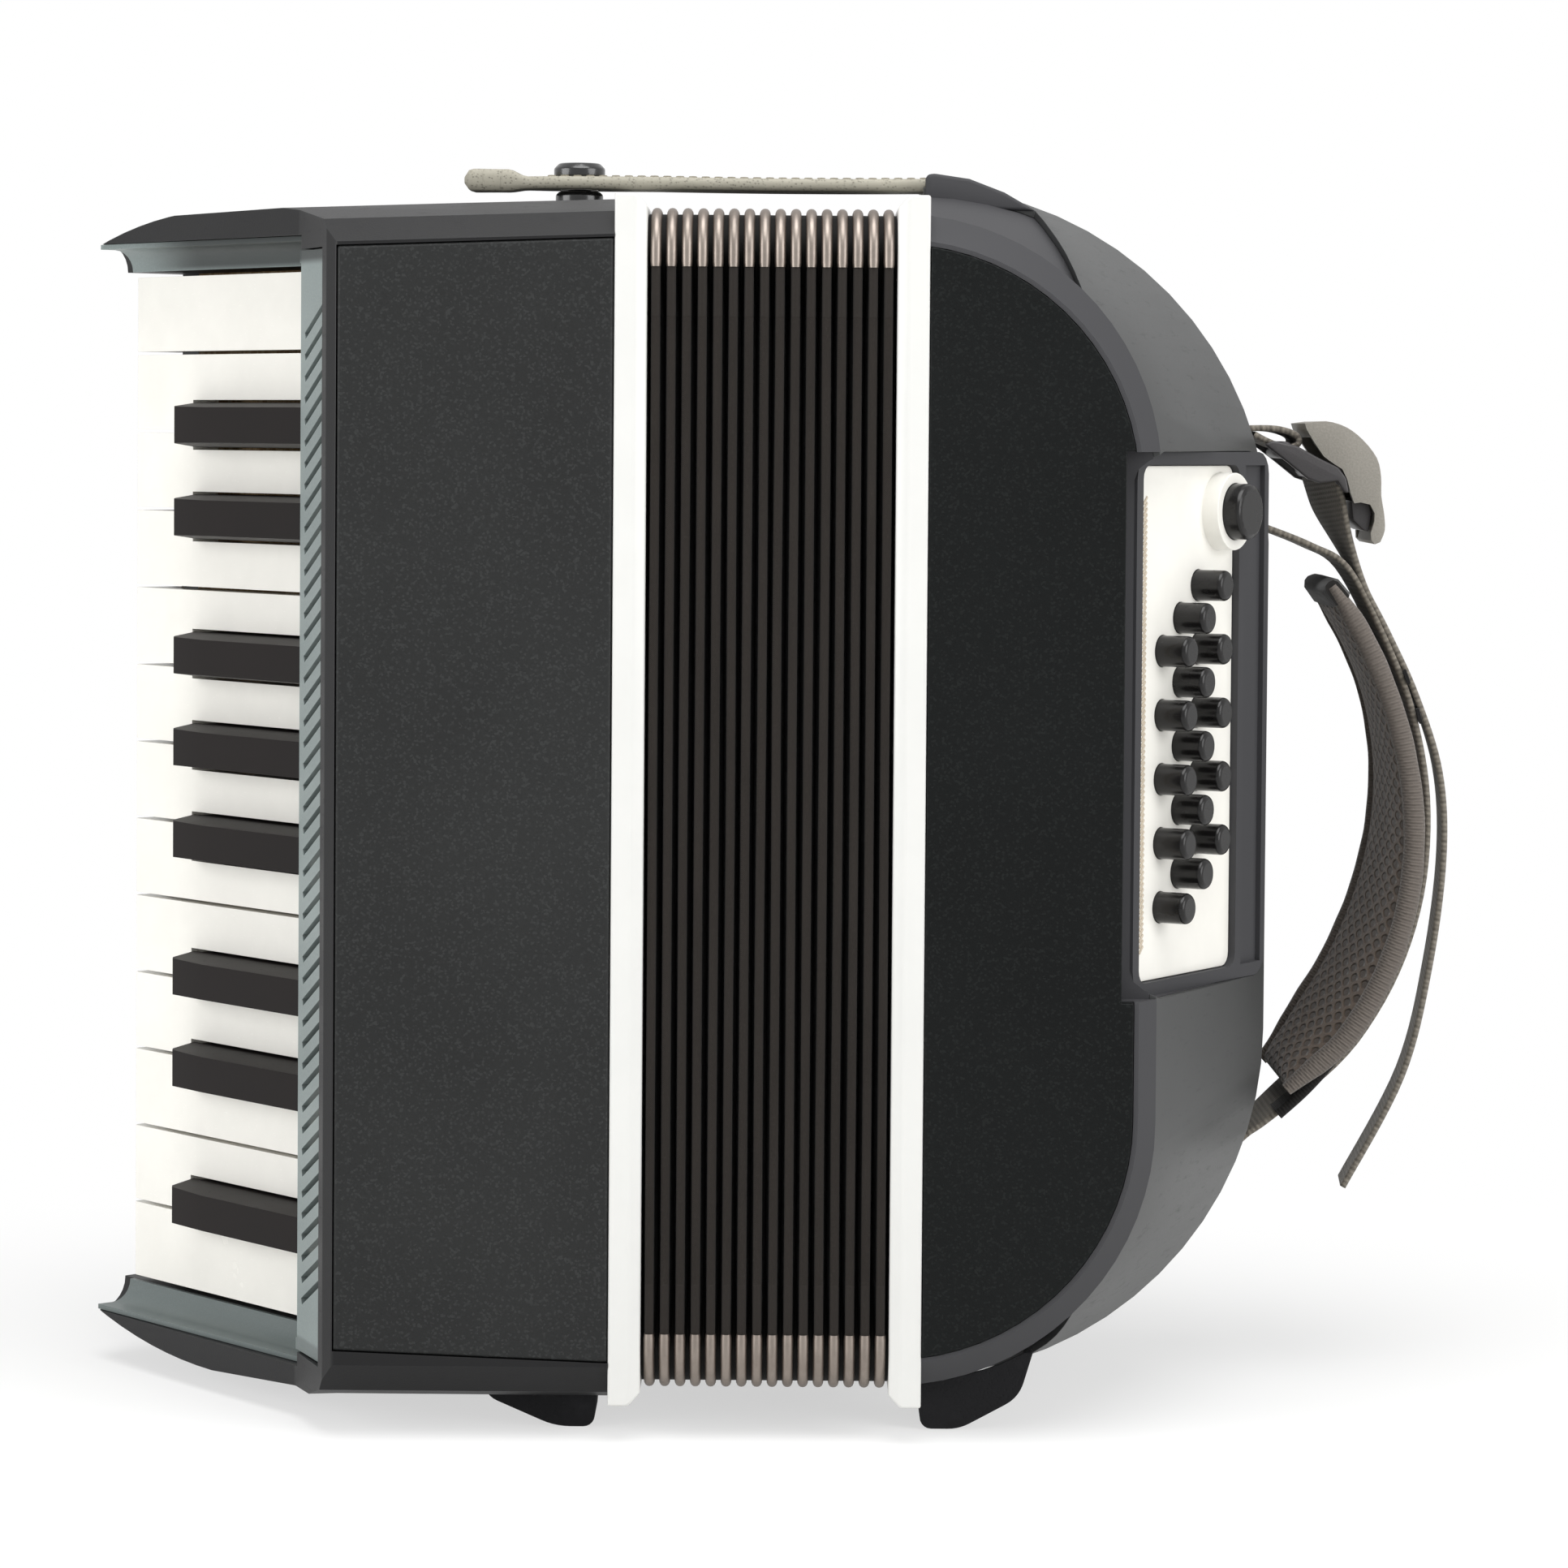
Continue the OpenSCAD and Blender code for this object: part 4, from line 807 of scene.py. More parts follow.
class TrebleBuild(bpy.types.Operator):
    """Finishes the treble casing, its cover, the louvred surround and its frame"""
    bl_idname = "accordion.treble"
    bl_label = "Treble side"

    def execute(self, context):
        paint, size = context.scene.accordion_colours, context.scene.accordion_sizes
        edge = size.edge / MM
        casing = moulded("casing_dark", paint.casing, 0.42, 0.4, 0.03, 0.22, 0.4)
        dress("treble_casing", casing)
        soften("treble_casing", edge)
        dress("treble_cover", speckled("cover_charcoal", paint.treble_cover,
                                       tint(78, 80, 80), 0.5, 0.22))
        soften("treble_cover", 0.3)
        # The coves beside the keys get painted shade.
        dress("keyboard_surround", moulded("surround_grey", paint.surround, 0.4, 0.45,
                                           0.02, 0.3, 0.12, 0.0, self.painted_cove_shade))
        soften("keyboard_surround", 0.18)
        frame_white = glossy("frame_white", paint.frame, 0.26, 0.0, 0.4, 0.2, 1.0)
        for node in ("treble_frame", "bass_frame"):
            dress(node, frame_white)
            soften(node, edge)
        feet = rubber("rubber_black", paint.rubber)
        for node in ("treble_feet", "bass_feet"):
            dress(node, feet)
            soften(node, 0.8)
        dress("strap_stud", glossy("stud_black", tint(26, 26, 27), 0.22, 0.3, 0.5, 0.5, 1.2))
        soften("strap_stud", 0.3)
        dress("shoulder_strap_brackets", drawn_metal("bracket_metal", tint(205, 204, 200),
                                                     0.26))
        soften("shoulder_strap_brackets", 0.25)
        return {"FINISHED"}

    def painted_cove_shade(self, at):
        """How much painted shade darkens the coves: the cheek arch's painted shadow over the
        upper cove, and painted shade on the lower cove and its lip.
        """
        x, z = at[0], at[2]
        key_low, key_high = span("white_key_13"), span("white_key_01")
        bottom = min(key_low[0][2], key_high[0][2])
        top = max(key_low[1][2], key_high[1][2])
        # above: painted shadow of the cheek arch; below and lip: painted shade on the lower
        # cove.
        above = z.ease((top + 0.5) * MM, (top + 2.5) * MM) * x.ease(-0.149, -0.130) * 0.9
        below = 1 - z.ease((bottom - 1.5) * MM, (bottom - 0.3) * MM)
        lip = 1 - z.ease((bottom - 9.0) * MM, (bottom - 6.5) * MM)
        return above + below * 0.4 + lip * 0.45


class WorksBuild(bpy.types.Operator):
    """Finishes the inner works: reed blocks, key bed and hinge rod"""
    bl_idname = "accordion.works"
    bl_label = "Inner works"

    def execute(self, context):
        paint = context.scene.accordion_colours
        reed = timber("reed_wood", paint.wood_pale, paint.wood_dark)
        for node in ("treble_reed_unit", "bass_reed_unit"):
            dress(node, reed)
        dress("key_bed", timber("bed_wood", shade_of(paint.wood_pale, 0.82),
                                shade_of(paint.wood_dark, 0.8)))
        dress("key_rod", drawn_metal("steel", paint.steel, 0.24))
        return {"FINISHED"}


class BassBuild(bpy.types.Operator):
    """Finishes the bass casing, its cover and the grey side band"""
    bl_idname = "accordion.bass"
    bl_label = "Bass side"

    def execute(self, context):
        paint, size = context.scene.accordion_colours, context.scene.accordion_sizes
        dress("bass_casing", bpy.data.materials["casing_dark"])
        soften("bass_casing", size.edge / MM, 26.0)
        dress("bass_cover", speckled("cover_black", paint.bass_cover, tint(48, 51, 50),
                                     0.5, 0.12))
        soften("bass_cover", 0.3)
        dress("bass_band", moulded("band_grey", paint.band, 0.4, 0.5, 0.015, 0.35, 0.12))
        soften("bass_band", 0.35, 26.0)
        return {"FINISHED"}


class ButtonsBuild(bpy.types.Operator):
    """Finishes the bass buttons and their plate, and lays the row of raised ticks"""
    bl_idname = "accordion.buttons"
    bl_label = "Bass buttons"

    def execute(self, context):
        paint = context.scene.accordion_colours
        dress("button_plate", glossy("plate_white", paint.plate, 0.3, 0.0, 0.35, 0.15, 1.02))
        soften("button_plate", 0.35)
        black = glossy("button_black", paint.button, 0.22, 0.2, 0.35, 0.1, 1.3)
        for node in BUTTONS:
            dress(node, black)
            soften(node, 0.25)
        self.ticks()
        return {"FINISHED"}

    def ticks(self):
        """Small slanted ribs down the plate's left edge."""
        turn = math.radians(PLATE_TILT)
        across = Vector((math.cos(turn), math.sin(turn), 0.0))
        out = Vector((math.sin(turn), -math.cos(turn), 0.0))
        corner = Vector((CASING_X + 45.1 + 0.2, FRONT_Y + 10.0, 0.0))
        low, high = span("button_plate")
        shapes = []
        z = low[2] + 7.0
        while z < high[2] - 7.0:
            middle = corner + across * 3.6 + Vector((0, 0, z)) + out * 0.02
            slant = (across * 0.72 + Vector((0, 0, 0.7))).normalized()
            side = slant.cross(out).normalized()
            box = block((-1.15, -0.3, 0.0), (1.15, 0.3, 0.18))
            place = Matrix((
                (slant.x, side.x, out.x, middle.x), (slant.y, side.y, out.y, middle.y),
                (slant.z, side.z, out.z, middle.z), (0, 0, 0, 1)))
            shapes.append(placed(box, place))
            z += TICK_PITCH
        points, faces = joined(*shapes)
        ticks = new_piece("plate_ticks", points, faces, glossy(
            "plate_tick", tint(205, 192, 172), 0.4, 0.0, 0.3, 0.0, 1.05), "plate_white")
        round_edges(ticks, 0.07)
        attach(ticks, "bass")


class BellowsBuild(bpy.types.Operator):
    """Builds the bellows: ridges, pleated webs and metal corner caps, fold by fold"""
    bl_idname = "accordion.bellows"
    bl_label = "Bellows"

    def execute(self, context):
        paint, size = context.scene.accordion_colours, context.scene.accordion_sizes
        self.count = size.folds
        self.pitch = (FOLDS_HIGH[0] - FOLDS_LOW[0] + 0.32) / self.count
        self.left = (FOLDS_LOW[0] + FOLDS_HIGH[0]) / 2 - self.count * self.pitch / 2
        self.corner = size.fold_corner / MM
        self.wave = size.wave / MM
        self.reach = size.cap_reach / MM
        self.gusset = size.gusset / MM
        cloth = fold_cloth("bellows_cloth", paint.cloth, paint.valley_shade,
                           shade_of(paint.cloth, 0.9))
        metal = drawn_metal("corner_metal", paint.corner, 0.38, (0.4, 1.0, 1.0), 0.6, 0.01)
        for i in range(self.count):
            self.ridge(i, size.ridge_wide / MM, cloth)
            self.caps(i, size.cap_wide / MM, metal)
        for i in range(self.count + 1):
            self.web(i, size.ridge_wide / MM, cloth)
        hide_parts("bellows_folds")
        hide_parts("bellows_corners")
        return {"FINISHED"}

    def middle(self, i):
        return self.left + (i + 0.5) * self.pitch

    def waver(self, i, share):
        """How far ridge i leans at a share of the way round."""
        rng = random.Random(31 * i + 7)
        total = 0.0
        for k in (2, 3, 5, 8):
            total += rng.uniform(-1, 1) / math.sqrt(k) * math.sin(
                2 * math.pi * (k * share + rng.random()))
        return self.wave * total

    def arcs(self, inset):
        """The four rounded corners of the fold's outline, moved in by an inset."""
        front, back = FOLDS_LOW[1] + inset, FOLDS_HIGH[1] - inset
        low, high = FOLDS_LOW[2] + inset, FOLDS_HIGH[2] - inset
        r = max(self.corner - inset, 0.3)
        turns = [(front, low, 1, 1, 180), (back, low, -1, 1, 270),
                 (back, high, -1, -1, 0), (front, high, 1, -1, 90)]
        return [[(y + sy * r + r * math.cos(math.radians(start + a * 15)),
                  z + sz * r + r * math.sin(math.radians(start + a * 15)))
                 for a in range(7)] for y, z, sy, sz, start in turns]

    def ring(self, inset):
        """Points round the fold's outline, moved in by an inset, with shallower corners
        where the gussets are: (y, z, how free)."""
        out = []
        arcs = self.arcs(inset)
        shallow = self.arcs(min(inset, self.gusset))
        for k, arc in enumerate(arcs):
            out += [(p[0], p[1], 0.0) for p in shallow[k]]
            last, first = arc[-1], arcs[(k + 1) % 4][0]
            steps = 12 if k in (0, 2) else 26
            for s in range(1, steps):
                t = s / steps
                out.append((last[0] + (first[0] - last[0]) * t,
                            last[1] + (first[1] - last[1]) * t,
                            min(1.0, 5 * t, 5 * (1 - t))))
        return out

    def skin(self, name, section, lean, finish, slot):
        """A skin round the outline. section gives (x, inset); lean gives how far each
        row of it wavers."""
        rings = [self.ring(inset) for x, inset in section]
        count = len(rings[0])
        points, faces, run = [], [], []
        for row, (x, inset) in enumerate(section):
            for k, (y, z, free) in enumerate(rings[row]):
                points.append((x + free * lean(row, k / count), y, z))
                run.append((inset, x, 0.0))
        for row in range(len(section) - 1):
            for k in range(count):
                n = (k + 1) % count
                faces.append((row * count + k, row * count + n,
                              (row + 1) * count + n, (row + 1) * count + k))
        return new_piece(name, points, faces, finish, slot, run)

    def follow(self, piece, x0, x1, w0, w1):
        """Works out where a piece would start and stop stretching with the bellows, share w0 of
        the stroke at x0 and w1 at x1, but uses neither; only bakes the piece's placement into
        its mesh.
        """
        def back(w):
            return 0.5 - math.sin(math.asin(max(-1.0, min(1.0, 1 - 2 * w))) / 3)
        if abs(w1 - w0) < 1e-9:
            reach = 12000.0
            start = (x0 + x1) / 2 - back(w0) * reach
        else:
            reach = (x1 - x0) / (back(w1) - back(w0))
            start = x0 - back(w0) * reach
        start * MM
        (start + reach) * MM
        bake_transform(piece)

    def ridge(self, i, wide, cloth):
        m, w = self.middle(i), wide / 2
        section = [(m - w * 0.84, 3.4), (m - w * 0.98, 1.9), (m - w, 1.0), (m - w * 0.9, 0.45),
                   (m - w * 0.56, 0.1), (m, 0.0), (m + w * 0.56, 0.1), (m + w * 0.9, 0.45),
                   (m + w, 1.0), (m + w * 0.98, 1.9), (m + w * 0.84, 3.4)]
        piece = self.skin(f"bellows_ridge_{i + 1:02d}", section,
                          lambda row, share: self.waver(i, share), cloth, "bellows_cloth")
        share = (i + 0.5) / self.count
        self.follow(piece, m, m, share, share)
        return piece

    def web(self, i, wide, cloth):
        """The pleat between ridge i - 1 and ridge i; the first and last meet the frames."""
        v = self.left + i * self.pitch
        g = self.pitch / 2 - wide / 2 * 0.84
        half = [(g + 0.3, 3.2), (g * 0.72, 7.0), (g * 0.34, 12.0), (g * 0.1, 15.6), (0.0, 16.2)]
        left = [(v - x, inset) for x, inset in half] if i > 0 else []
        right = [(v + x, inset) for x, inset in half[::-1]] if i < self.count else []
        section = left + right[1 if left else 0:]
        if i == 0:
            section[0] = (FOLDS_LOW[0] - 0.2, 16.2)
        if i == self.count:
            section[-1] = (FOLDS_HIGH[0] + 0.2, 16.2)

        def lean(row, share):
            t = row / (len(section) - 1)
            first = self.waver(i - 1, share) if i > 0 else 0.0
            last = self.waver(i, share) if i < self.count else 0.0
            return first * (1 - t) + last * t
        piece = self.skin(f"bellows_web_{i + 1:02d}", section, lean, cloth, "bellows_cloth")
        self.follow(piece, section[0][0], section[-1][0],
                    max(0.0, (i - 0.5) / self.count), min(1.0, (i + 0.5) / self.count))

    def caps(self, i, wide, metal):
        m, w = self.middle(i), wide / 2
        section = [(-w * 0.8, 3.9), (-w * 0.95, 2.6), (-w, 1.35), (-w * 0.93, 0.6),
                   (-w * 0.72, 0.08), (-w * 0.38, -0.22), (0.0, -0.3), (w * 0.38, -0.22),
                   (w * 0.72, 0.08), (w * 0.93, 0.6), (w, 1.35), (w * 0.95, 2.6),
                   (w * 0.8, 3.9)]
        shapes = []
        for sy in (1, -1):
            for sz in (1, -1):
                y0 = FOLDS_LOW[1] if sy > 0 else FOLDS_HIGH[1]
                z0 = FOLDS_LOW[2] if sz > 0 else FOLDS_HIGH[2]
                points, faces = [], []
                for x, inset in section:
                    r = max(self.corner - inset, 0.3)
                    row = [(self.reach, inset), (self.reach - 1.0, inset)]
                    row += [(inset + r - r * math.sin(math.radians(a * 11.25)),
                             inset + r - r * math.cos(math.radians(a * 11.25)))
                            for a in range(9)]
                    row += [(inset, self.reach - 1.0), (inset, self.reach)]
                    for k, (p, q) in enumerate(row):
                        tuck = 0.9 if k in (0, len(row) - 1) else 1.0
                        points.append((m + x * tuck, y0 + sy * p, z0 + sz * q))
                count = len(row)
                for a in range(len(section) - 1):
                    for k in range(count - 1):
                        faces.append((a * count + k, a * count + k + 1,
                                      (a + 1) * count + k + 1, (a + 1) * count + k))
                shapes.append((points, faces))
        points, faces = joined(*shapes)
        piece = new_piece(f"bellows_caps_{i + 1:02d}", points, faces, metal, "corner_metal")
        share = (i + 0.5) / self.count
        self.follow(piece, m, m, share, share)


class BellowsStrapBuild(bpy.types.Operator):
    """Builds the leatherette strap that keeps the bellows shut, its eyelet, hood and thread"""
    bl_idname = "accordion.bellows_strap"
    bl_label = "Bellows strap"

    def execute(self, context):
        paint, size = context.scene.accordion_colours, context.scene.accordion_sizes
        leather = hide("strap_leatherette", paint.strap)
        thick = size.strap_thick / MM
        low = STRAP_LOW[2]
        stud_low, stud_high = span("strap_stud")
        stud_x = (stud_low[0] + stud_high[0]) / 2
        x0, x1 = STRAP_LOW[0], STRAP_HIGH[0]
        half = (STRAP_HIGH[1] - STRAP_LOW[1]) / 2

        def width(x):
            from_end = x - x0
            if from_end < 9:
                return 4.9 + 0.7 * math.cos(from_end / 9 * math.pi)
            if from_end < 24:
                return 4.2 + (half - 4.2) * eased((from_end - 9) / 15)
            return half

        path, sections = [], []
        steps = 96
        for k in range(steps + 1):
            x = x0 + (x1 - x0) * k / steps
            nose = math.sqrt(clamped(1 - (1 - min(x - x0, 2.6) / 2.6) ** 2))
            fold = eased(clamped((14.5 - (x - x0)) / 4.5))
            path.append(Vector((x, 0.0, low + thick / 2 + self.sag(x) + 0.55 * fold)))
            sections.append(flat_section(2 * width(x) * (0.5 + 0.5 * nose),
                                         (thick + 2.2 * fold) * (0.3 + 0.7 * nose), 0.9))
        sides = [(Vector((0, 1, 0)), Vector((0, 0, 1)))] * len(path)
        points, faces, run = sweep(path, sides, lambda t: sections[round(t * steps)])
        strap = new_piece("bellows_strap_leather", points, faces, leather,
                          "strap_leatherette", run, sharp=50)
        hole = placed(lathe([(0, -3), (2.75, -3), (2.75, 6), (0, 6)], 24),
                      Matrix.Translation((stud_x, 0, low)))
        cut_away(strap, *hole)
        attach(strap, "bass")
        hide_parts("bellows_strap")
        ring = [(2.72, -0.12), (4.2, -0.12), (4.3, 0.1), (4.3, thick - 0.1),
                (4.2, thick + 0.12), (2.72, thick + 0.12)]
        points, faces = placed(lathe(ring + ring[:1], 28), Matrix.Translation((stud_x, 0, low)))
        eyelet = new_piece("strap_eyelet", points, faces,
                           drawn_metal("eyelet_metal", tint(200, 196, 190), 0.28),
                           "bracket_metal", sharp=35)
        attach(eyelet, "bass")
        self.hood(x1 - 3.6)
        self.stitches(x0, x1, low + thick, width)
        return {"FINISHED"}

    def sag(self, x):
        """How far the strap hangs below its straight line, over the bellows."""
        return -0.22 * math.sin(math.pi * (x + 26) / 62) if x > -26 else 0.0

    def hood(self, x):
        """The small moulded roof that the strap's fixed end is screwed under."""
        top = STRAP_HIGH[2] - 1.2
        roof = [(x + 0.5, top - 6.5), (x + 0.5, top + 0.5), (x + 2.0, top + 1.0),
                (x + 10.3, top - 0.2), (x + 18.2, top - 3.2), (x + 25.5, top - 7.4)]
        points, faces = prism(roof, -HOOD_HALF, HOOD_HALF)
        hood = new_piece("strap_hood", points, faces, bpy.data.materials["casing_dark"],
                         "casing_dark")
        round_edges(hood, 1.0, 20, 3)
        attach(hood, "bass")

    def stitches(self, x0, x1, top, width):
        """Thread along both edges of the strap."""
        shapes = []
        x = x0 + 20
        while x < x1 - 3:
            for side in (-1, 1):
                y = side * (width(x) - 1.5)
                shape = lathe([(0, -1.0), (0.22, -0.8), (0.26, 0), (0.22, 0.8), (0, 1.0)], 6)
                place = (Matrix.Translation((x, y, top + 0.05 + self.sag(x)))
                         @ Matrix.Rotation(math.radians(90), 4, "Y"))
                shapes.append(placed(shape, place))
            x += STITCH_PITCH
        points, faces = joined(*shapes)
        thread = new_piece("strap_stitches", points, faces,
                           woven_thread("strap_thread", tint(140, 134, 118)),
                           "strap_leatherette")
        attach(thread, "bass")


def woven_thread(name, colour):
    """Sewing thread."""
    f = new_finish(name)
    fuzz = f.noise(f.place(), 3200.0, 2.0, 0.6)
    tone = f.mix(fuzz, shade_of(colour, 0.75), shade_of(colour, 1.2))
    return f.close(tone, 0.7 + 0.1 * fuzz, fuzz, 0.03 * MM, Specular_IOR_Level=0.3)


# ------------------------------------------------------------ hand strap

STRAP_Y = 25.0
PAD_CENTRE = (SIDE_X - 51.5, MIDDLE_Z - 7.0)
PAD_RADIUS = 85.0
PAD_FROM, PAD_TO = -48.0, 38.2
BASS_RADIUS = 80.0
BASS_HALF = 135.1


def side_x(z):
    """Where the bass casing's side lies, at a height over the middle."""
    drop = max(0.0, abs(z) - BASS_HALF + BASS_RADIUS)
    return SIDE_X - BASS_RADIUS + math.sqrt(BASS_RADIUS ** 2 - drop ** 2)


def on_pad(radius, angle):
    a = math.radians(angle)
    return Vector((PAD_CENTRE[0] + radius * math.cos(a), STRAP_Y,
                   PAD_CENTRE[1] + radius * math.sin(a)))


def pad_twist(amount, angle):
    """Turn of the pad at an angle of its curve, strongest near the lower end."""
    t = (angle - PAD_FROM) / (PAD_TO - PAD_FROM)
    rise = eased(clamped(t / 0.16))
    fall = eased(clamped((0.85 - t) / 0.6))
    return amount * (0.35 + 0.65 * rise) * fall


def pad_frame(amount, angle):
    """The across and outward directions of the pad at an angle of its curve."""
    a = math.radians(angle)
    out = Vector((math.cos(a), 0, math.sin(a)))
    along = Vector((-math.sin(a), 0, math.cos(a)))
    turn = Matrix.Rotation(pad_twist(amount, angle), 3, along)
    return turn @ Vector((0, 1, 0)), turn @ out


class HandStrapBuild(bpy.types.Operator):
    """Builds the padded hand strap: pad, binding, webbing and keepers"""
    bl_idname = "accordion.hand_strap"
    bl_label = "Hand strap"

    def execute(self, context):
        paint, size = context.scene.accordion_colours, context.scene.accordion_sizes
        self.twist = size.pad_twist
        self.wide = size.pad_wide / MM
        self.thick = size.pad_thick / MM
        self.web_wide = size.web_wide / MM
        self.web_thick = size.web_thick / MM
        # The lining's second colour is painted shade for the mesh's holes.
        lining = mesh_lining("pad_mesh", paint.lining, shade_of(paint.lining, 0.28))
        binding = woven("pad_binding", paint.binding, 0.7, 0.86)
        webbing = woven("webbing", paint.webbing, 1.15, 0.55)
        pad = self.pad(lining)
        self.bindings(binding)
        self.webs(webbing)
        self.end_wrap()
        self.end_tape()
        self.keepers()
        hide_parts("hand_strap_pad")
        return {"FINISHED"}

    def pad(self, lining):
        rows, cols = 44, 12
        half = self.wide / 2 - 1.2
        points, faces, run, pinned = [], [], [], []
        for i in range(rows + 1):
            t = i / rows
            angle = PAD_FROM + 0.6 + (PAD_TO - PAD_FROM - 1.2) * t
            across, out = pad_frame(self.twist, angle)
            at = on_pad(PAD_RADIUS, angle)
            end = min(1.0, math.sqrt(max(0.0, min(t, 1 - t)) * 14) + 0.25)
            for side in (1, -1):
                for k in range(cols + 1):
                    s = -1 + 2 * k / cols
                    swell = (1 - abs(s) ** 3.0) * 0.62 + 0.38
                    lift = side * self.thick / 2 * 0.74 * swell * end
                    if k in (0, cols):
                        lift *= 0.5
                    points.append(tuple(at + across * (s * half) + out * lift))
                    run.append((math.radians(angle - PAD_FROM) * PAD_RADIUS, s * half,
                                side * 4.0))
                    if k in (0, cols) or i in (0, rows):
                        pinned.append(len(points) - 1)
        wide = cols + 1
        layer = 2 * wide
        for i in range(rows):
            for k in range(cols):
                a = i * layer + k
                faces.append((a, a + 1, a + layer + 1, a + layer))
                b = a + wide
                faces.append((b, b + layer, b + layer + 1, b + 1))
            for k in (0, cols):
                a = i * layer + k
                faces.append((a, a + layer, a + layer + wide, a + wide))
        for i in (0, rows):
            for k in range(cols):
                a = i * layer + k
                faces.append((a, a + 1, a + wide + 1, a + wide))
        pad = new_piece("hand_strap_cushion", points, faces, lining, "pad_mesh", run)
        self.puff(pad, pinned)
        pad.data.polygons.foreach_set("use_smooth", [True] * len(pad.data.polygons))
        finer = pad.modifiers.new("finer", "SUBSURF")
        finer.levels = finer.render_levels = 1
        settle(pad)
        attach(pad, "bass")
        return pad

    def puff(self, pad, pinned):
        """Fills the pad: cloth under light pressure, held along its seams."""
        group = pad.vertex_groups.new(name="seam")
        group.add(pinned, 1.0, "REPLACE")
        rest = [v.co.copy() for v in pad.data.vertices]
        fill = pad.modifiers.new("fill", "CLOTH")
        cloth = fill.settings
        cloth.quality = 5
        cloth.mass = 0.2
        cloth.tension_stiffness = 25
        cloth.compression_stiffness = 25
        cloth.bending_stiffness = 1.5
        cloth.use_pressure = True
        cloth.uniform_pressure_force = 4.0
        cloth.vertex_group_mass = "seam"
        cloth.pin_stiffness = 1.0
        cloth.effector_weights.gravity = 0.0
        fill.point_cache.frame_start = 1
        fill.point_cache.frame_end = 20
        scene = bpy.context.scene
        for step in range(1, 21):
            scene.frame_set(step)
        settle(pad)
        scene.frame_set(1)
        limit = 1.0 * MM
        for vertex, start in zip(pad.data.vertices, rest):
            move = vertex.co - start
            if move.length > limit:
                vertex.co = start + move.normalized() * limit

    def bindings(self, finish):
        """Folded tape over the two long edges of the pad."""
        for name, side in (("front", -1), ("back", 1)):
            path, sides = [], []
            for i in range(61):
                angle = PAD_FROM + 0.4 + (PAD_TO - PAD_FROM - 0.8) * i / 60
                across, out = pad_frame(self.twist, angle)
                path.append(on_pad(PAD_RADIUS, angle) + across * side * (self.wide / 2 - 1.9))
                sides.append((across * side, out))
            section = [(-1.6, -2.3), (-0.6, -2.4), (0.5, -2.25), (1.3, -1.75), (1.8, -0.9),
                       (1.95, 0.0), (1.8, 0.9), (1.3, 1.75), (0.5, 2.25), (-0.6, 2.4),
                       (-1.6, 2.3), (-1.8, 1.9), (-1.8, -1.9)]

            def shaped(t):
                end = min(1.0, 0.55 + 6 * min(t, 1 - t))
                ripple = 1 + 0.02 * math.sin(t * 47) + 0.015 * math.sin(t * 83 + 1)
                return [(a, b * end * ripple) for a, b in section]
            strip(f"hand_strap_binding_{name}", path, sides, shaped, finish, "pad_mesh")

    def ribbon(self, name, knots, finish, twists):
        """A run of webbing through chosen points; twists are (share, degrees)."""
        path = smooth_run(knots, 8)

        def twist(i):
            t = i / (len(path) - 1)
            for (t0, d0), (t1, d1) in zip(twists, twists[1:]):
                if t <= t1:
                    u = eased((t - t0) / (t1 - t0))
                    return math.radians(d0 + (d1 - d0) * u)
            return math.radians(twists[-1][1])
        section = flat_section(self.web_wide, self.web_thick, 0.7)
        strip(name, path, strap_sides(path, twist), section, finish, "webbing")

    def webs(self, finish):
        reach = PAD_RADIUS + 4.0 + self.web_thick / 2 + 0.3
        knots = [(side_x(-86) + 0.9, STRAP_Y, MIDDLE_Z - 86),
                 (side_x(-86) + 4.5, STRAP_Y, MIDDLE_Z - 82.5)]
        knots += [on_pad(reach, a) for a in (-52, -40, -26, -12, 2, 15, 26)]
        knots += [(SIDE_X + 20.6, STRAP_Y, MIDDLE_Z + 48.9),
                  (SIDE_X + 12, STRAP_Y, MIDDLE_Z + 54.2),
                  (side_x(58.5) + 1.1, STRAP_Y, MIDDLE_Z + 58.5)]
        path = smooth_run(knots, 6)
        sides, moved = [], []
        for i, at in enumerate(path):
            angle = math.degrees(math.atan2(at.z - PAD_CENTRE[1], at.x - PAD_CENTRE[0]))
            turn = pad_twist(self.twist, angle)
            if angle < PAD_FROM:
                turn *= max(0.0, 1 - (PAD_FROM - angle) / 8)
            along = (path[min(i + 1, len(path) - 1)] - path[max(i - 1, 0)]).normalized()
            up = along.cross(Vector((0, 1, 0))).normalized()
            flat = Matrix.Rotation(turn, 3, along)
            sides.append((flat @ Vector((0, 1, 0)), flat @ up))
            centre = at - up * (4.0 + 1.0)
            moved.append(centre + (flat @ up) * 5.0)
        section = flat_section(self.web_wide, self.web_thick, 0.7)
        first = strip("webbing_over_pad", moved, sides, section, finish, "webbing")
        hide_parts("hand_strap_webbing")
        self.ribbon("webbing_anchor_loop", [
            (side_x(80.8) + 1, STRAP_Y, MIDDLE_Z + 80.8), (SIDE_X - 1, STRAP_Y, MIDDLE_Z + 81.2),
            (SIDE_X + 4.2, STRAP_Y, MIDDLE_Z + 81.0), (SIDE_X + 8.2, STRAP_Y, MIDDLE_Z + 79.6),
            (SIDE_X + 8.6, STRAP_Y, MIDDLE_Z + 77.6), (SIDE_X + 5.6, STRAP_Y, MIDDLE_Z + 76.8),
            (SIDE_X + 1.6, STRAP_Y, MIDDLE_Z + 78.2), (SIDE_X - 1.5, STRAP_Y, MIDDLE_Z + 79.8)],
            finish, [(0, 0), (1, 0)])
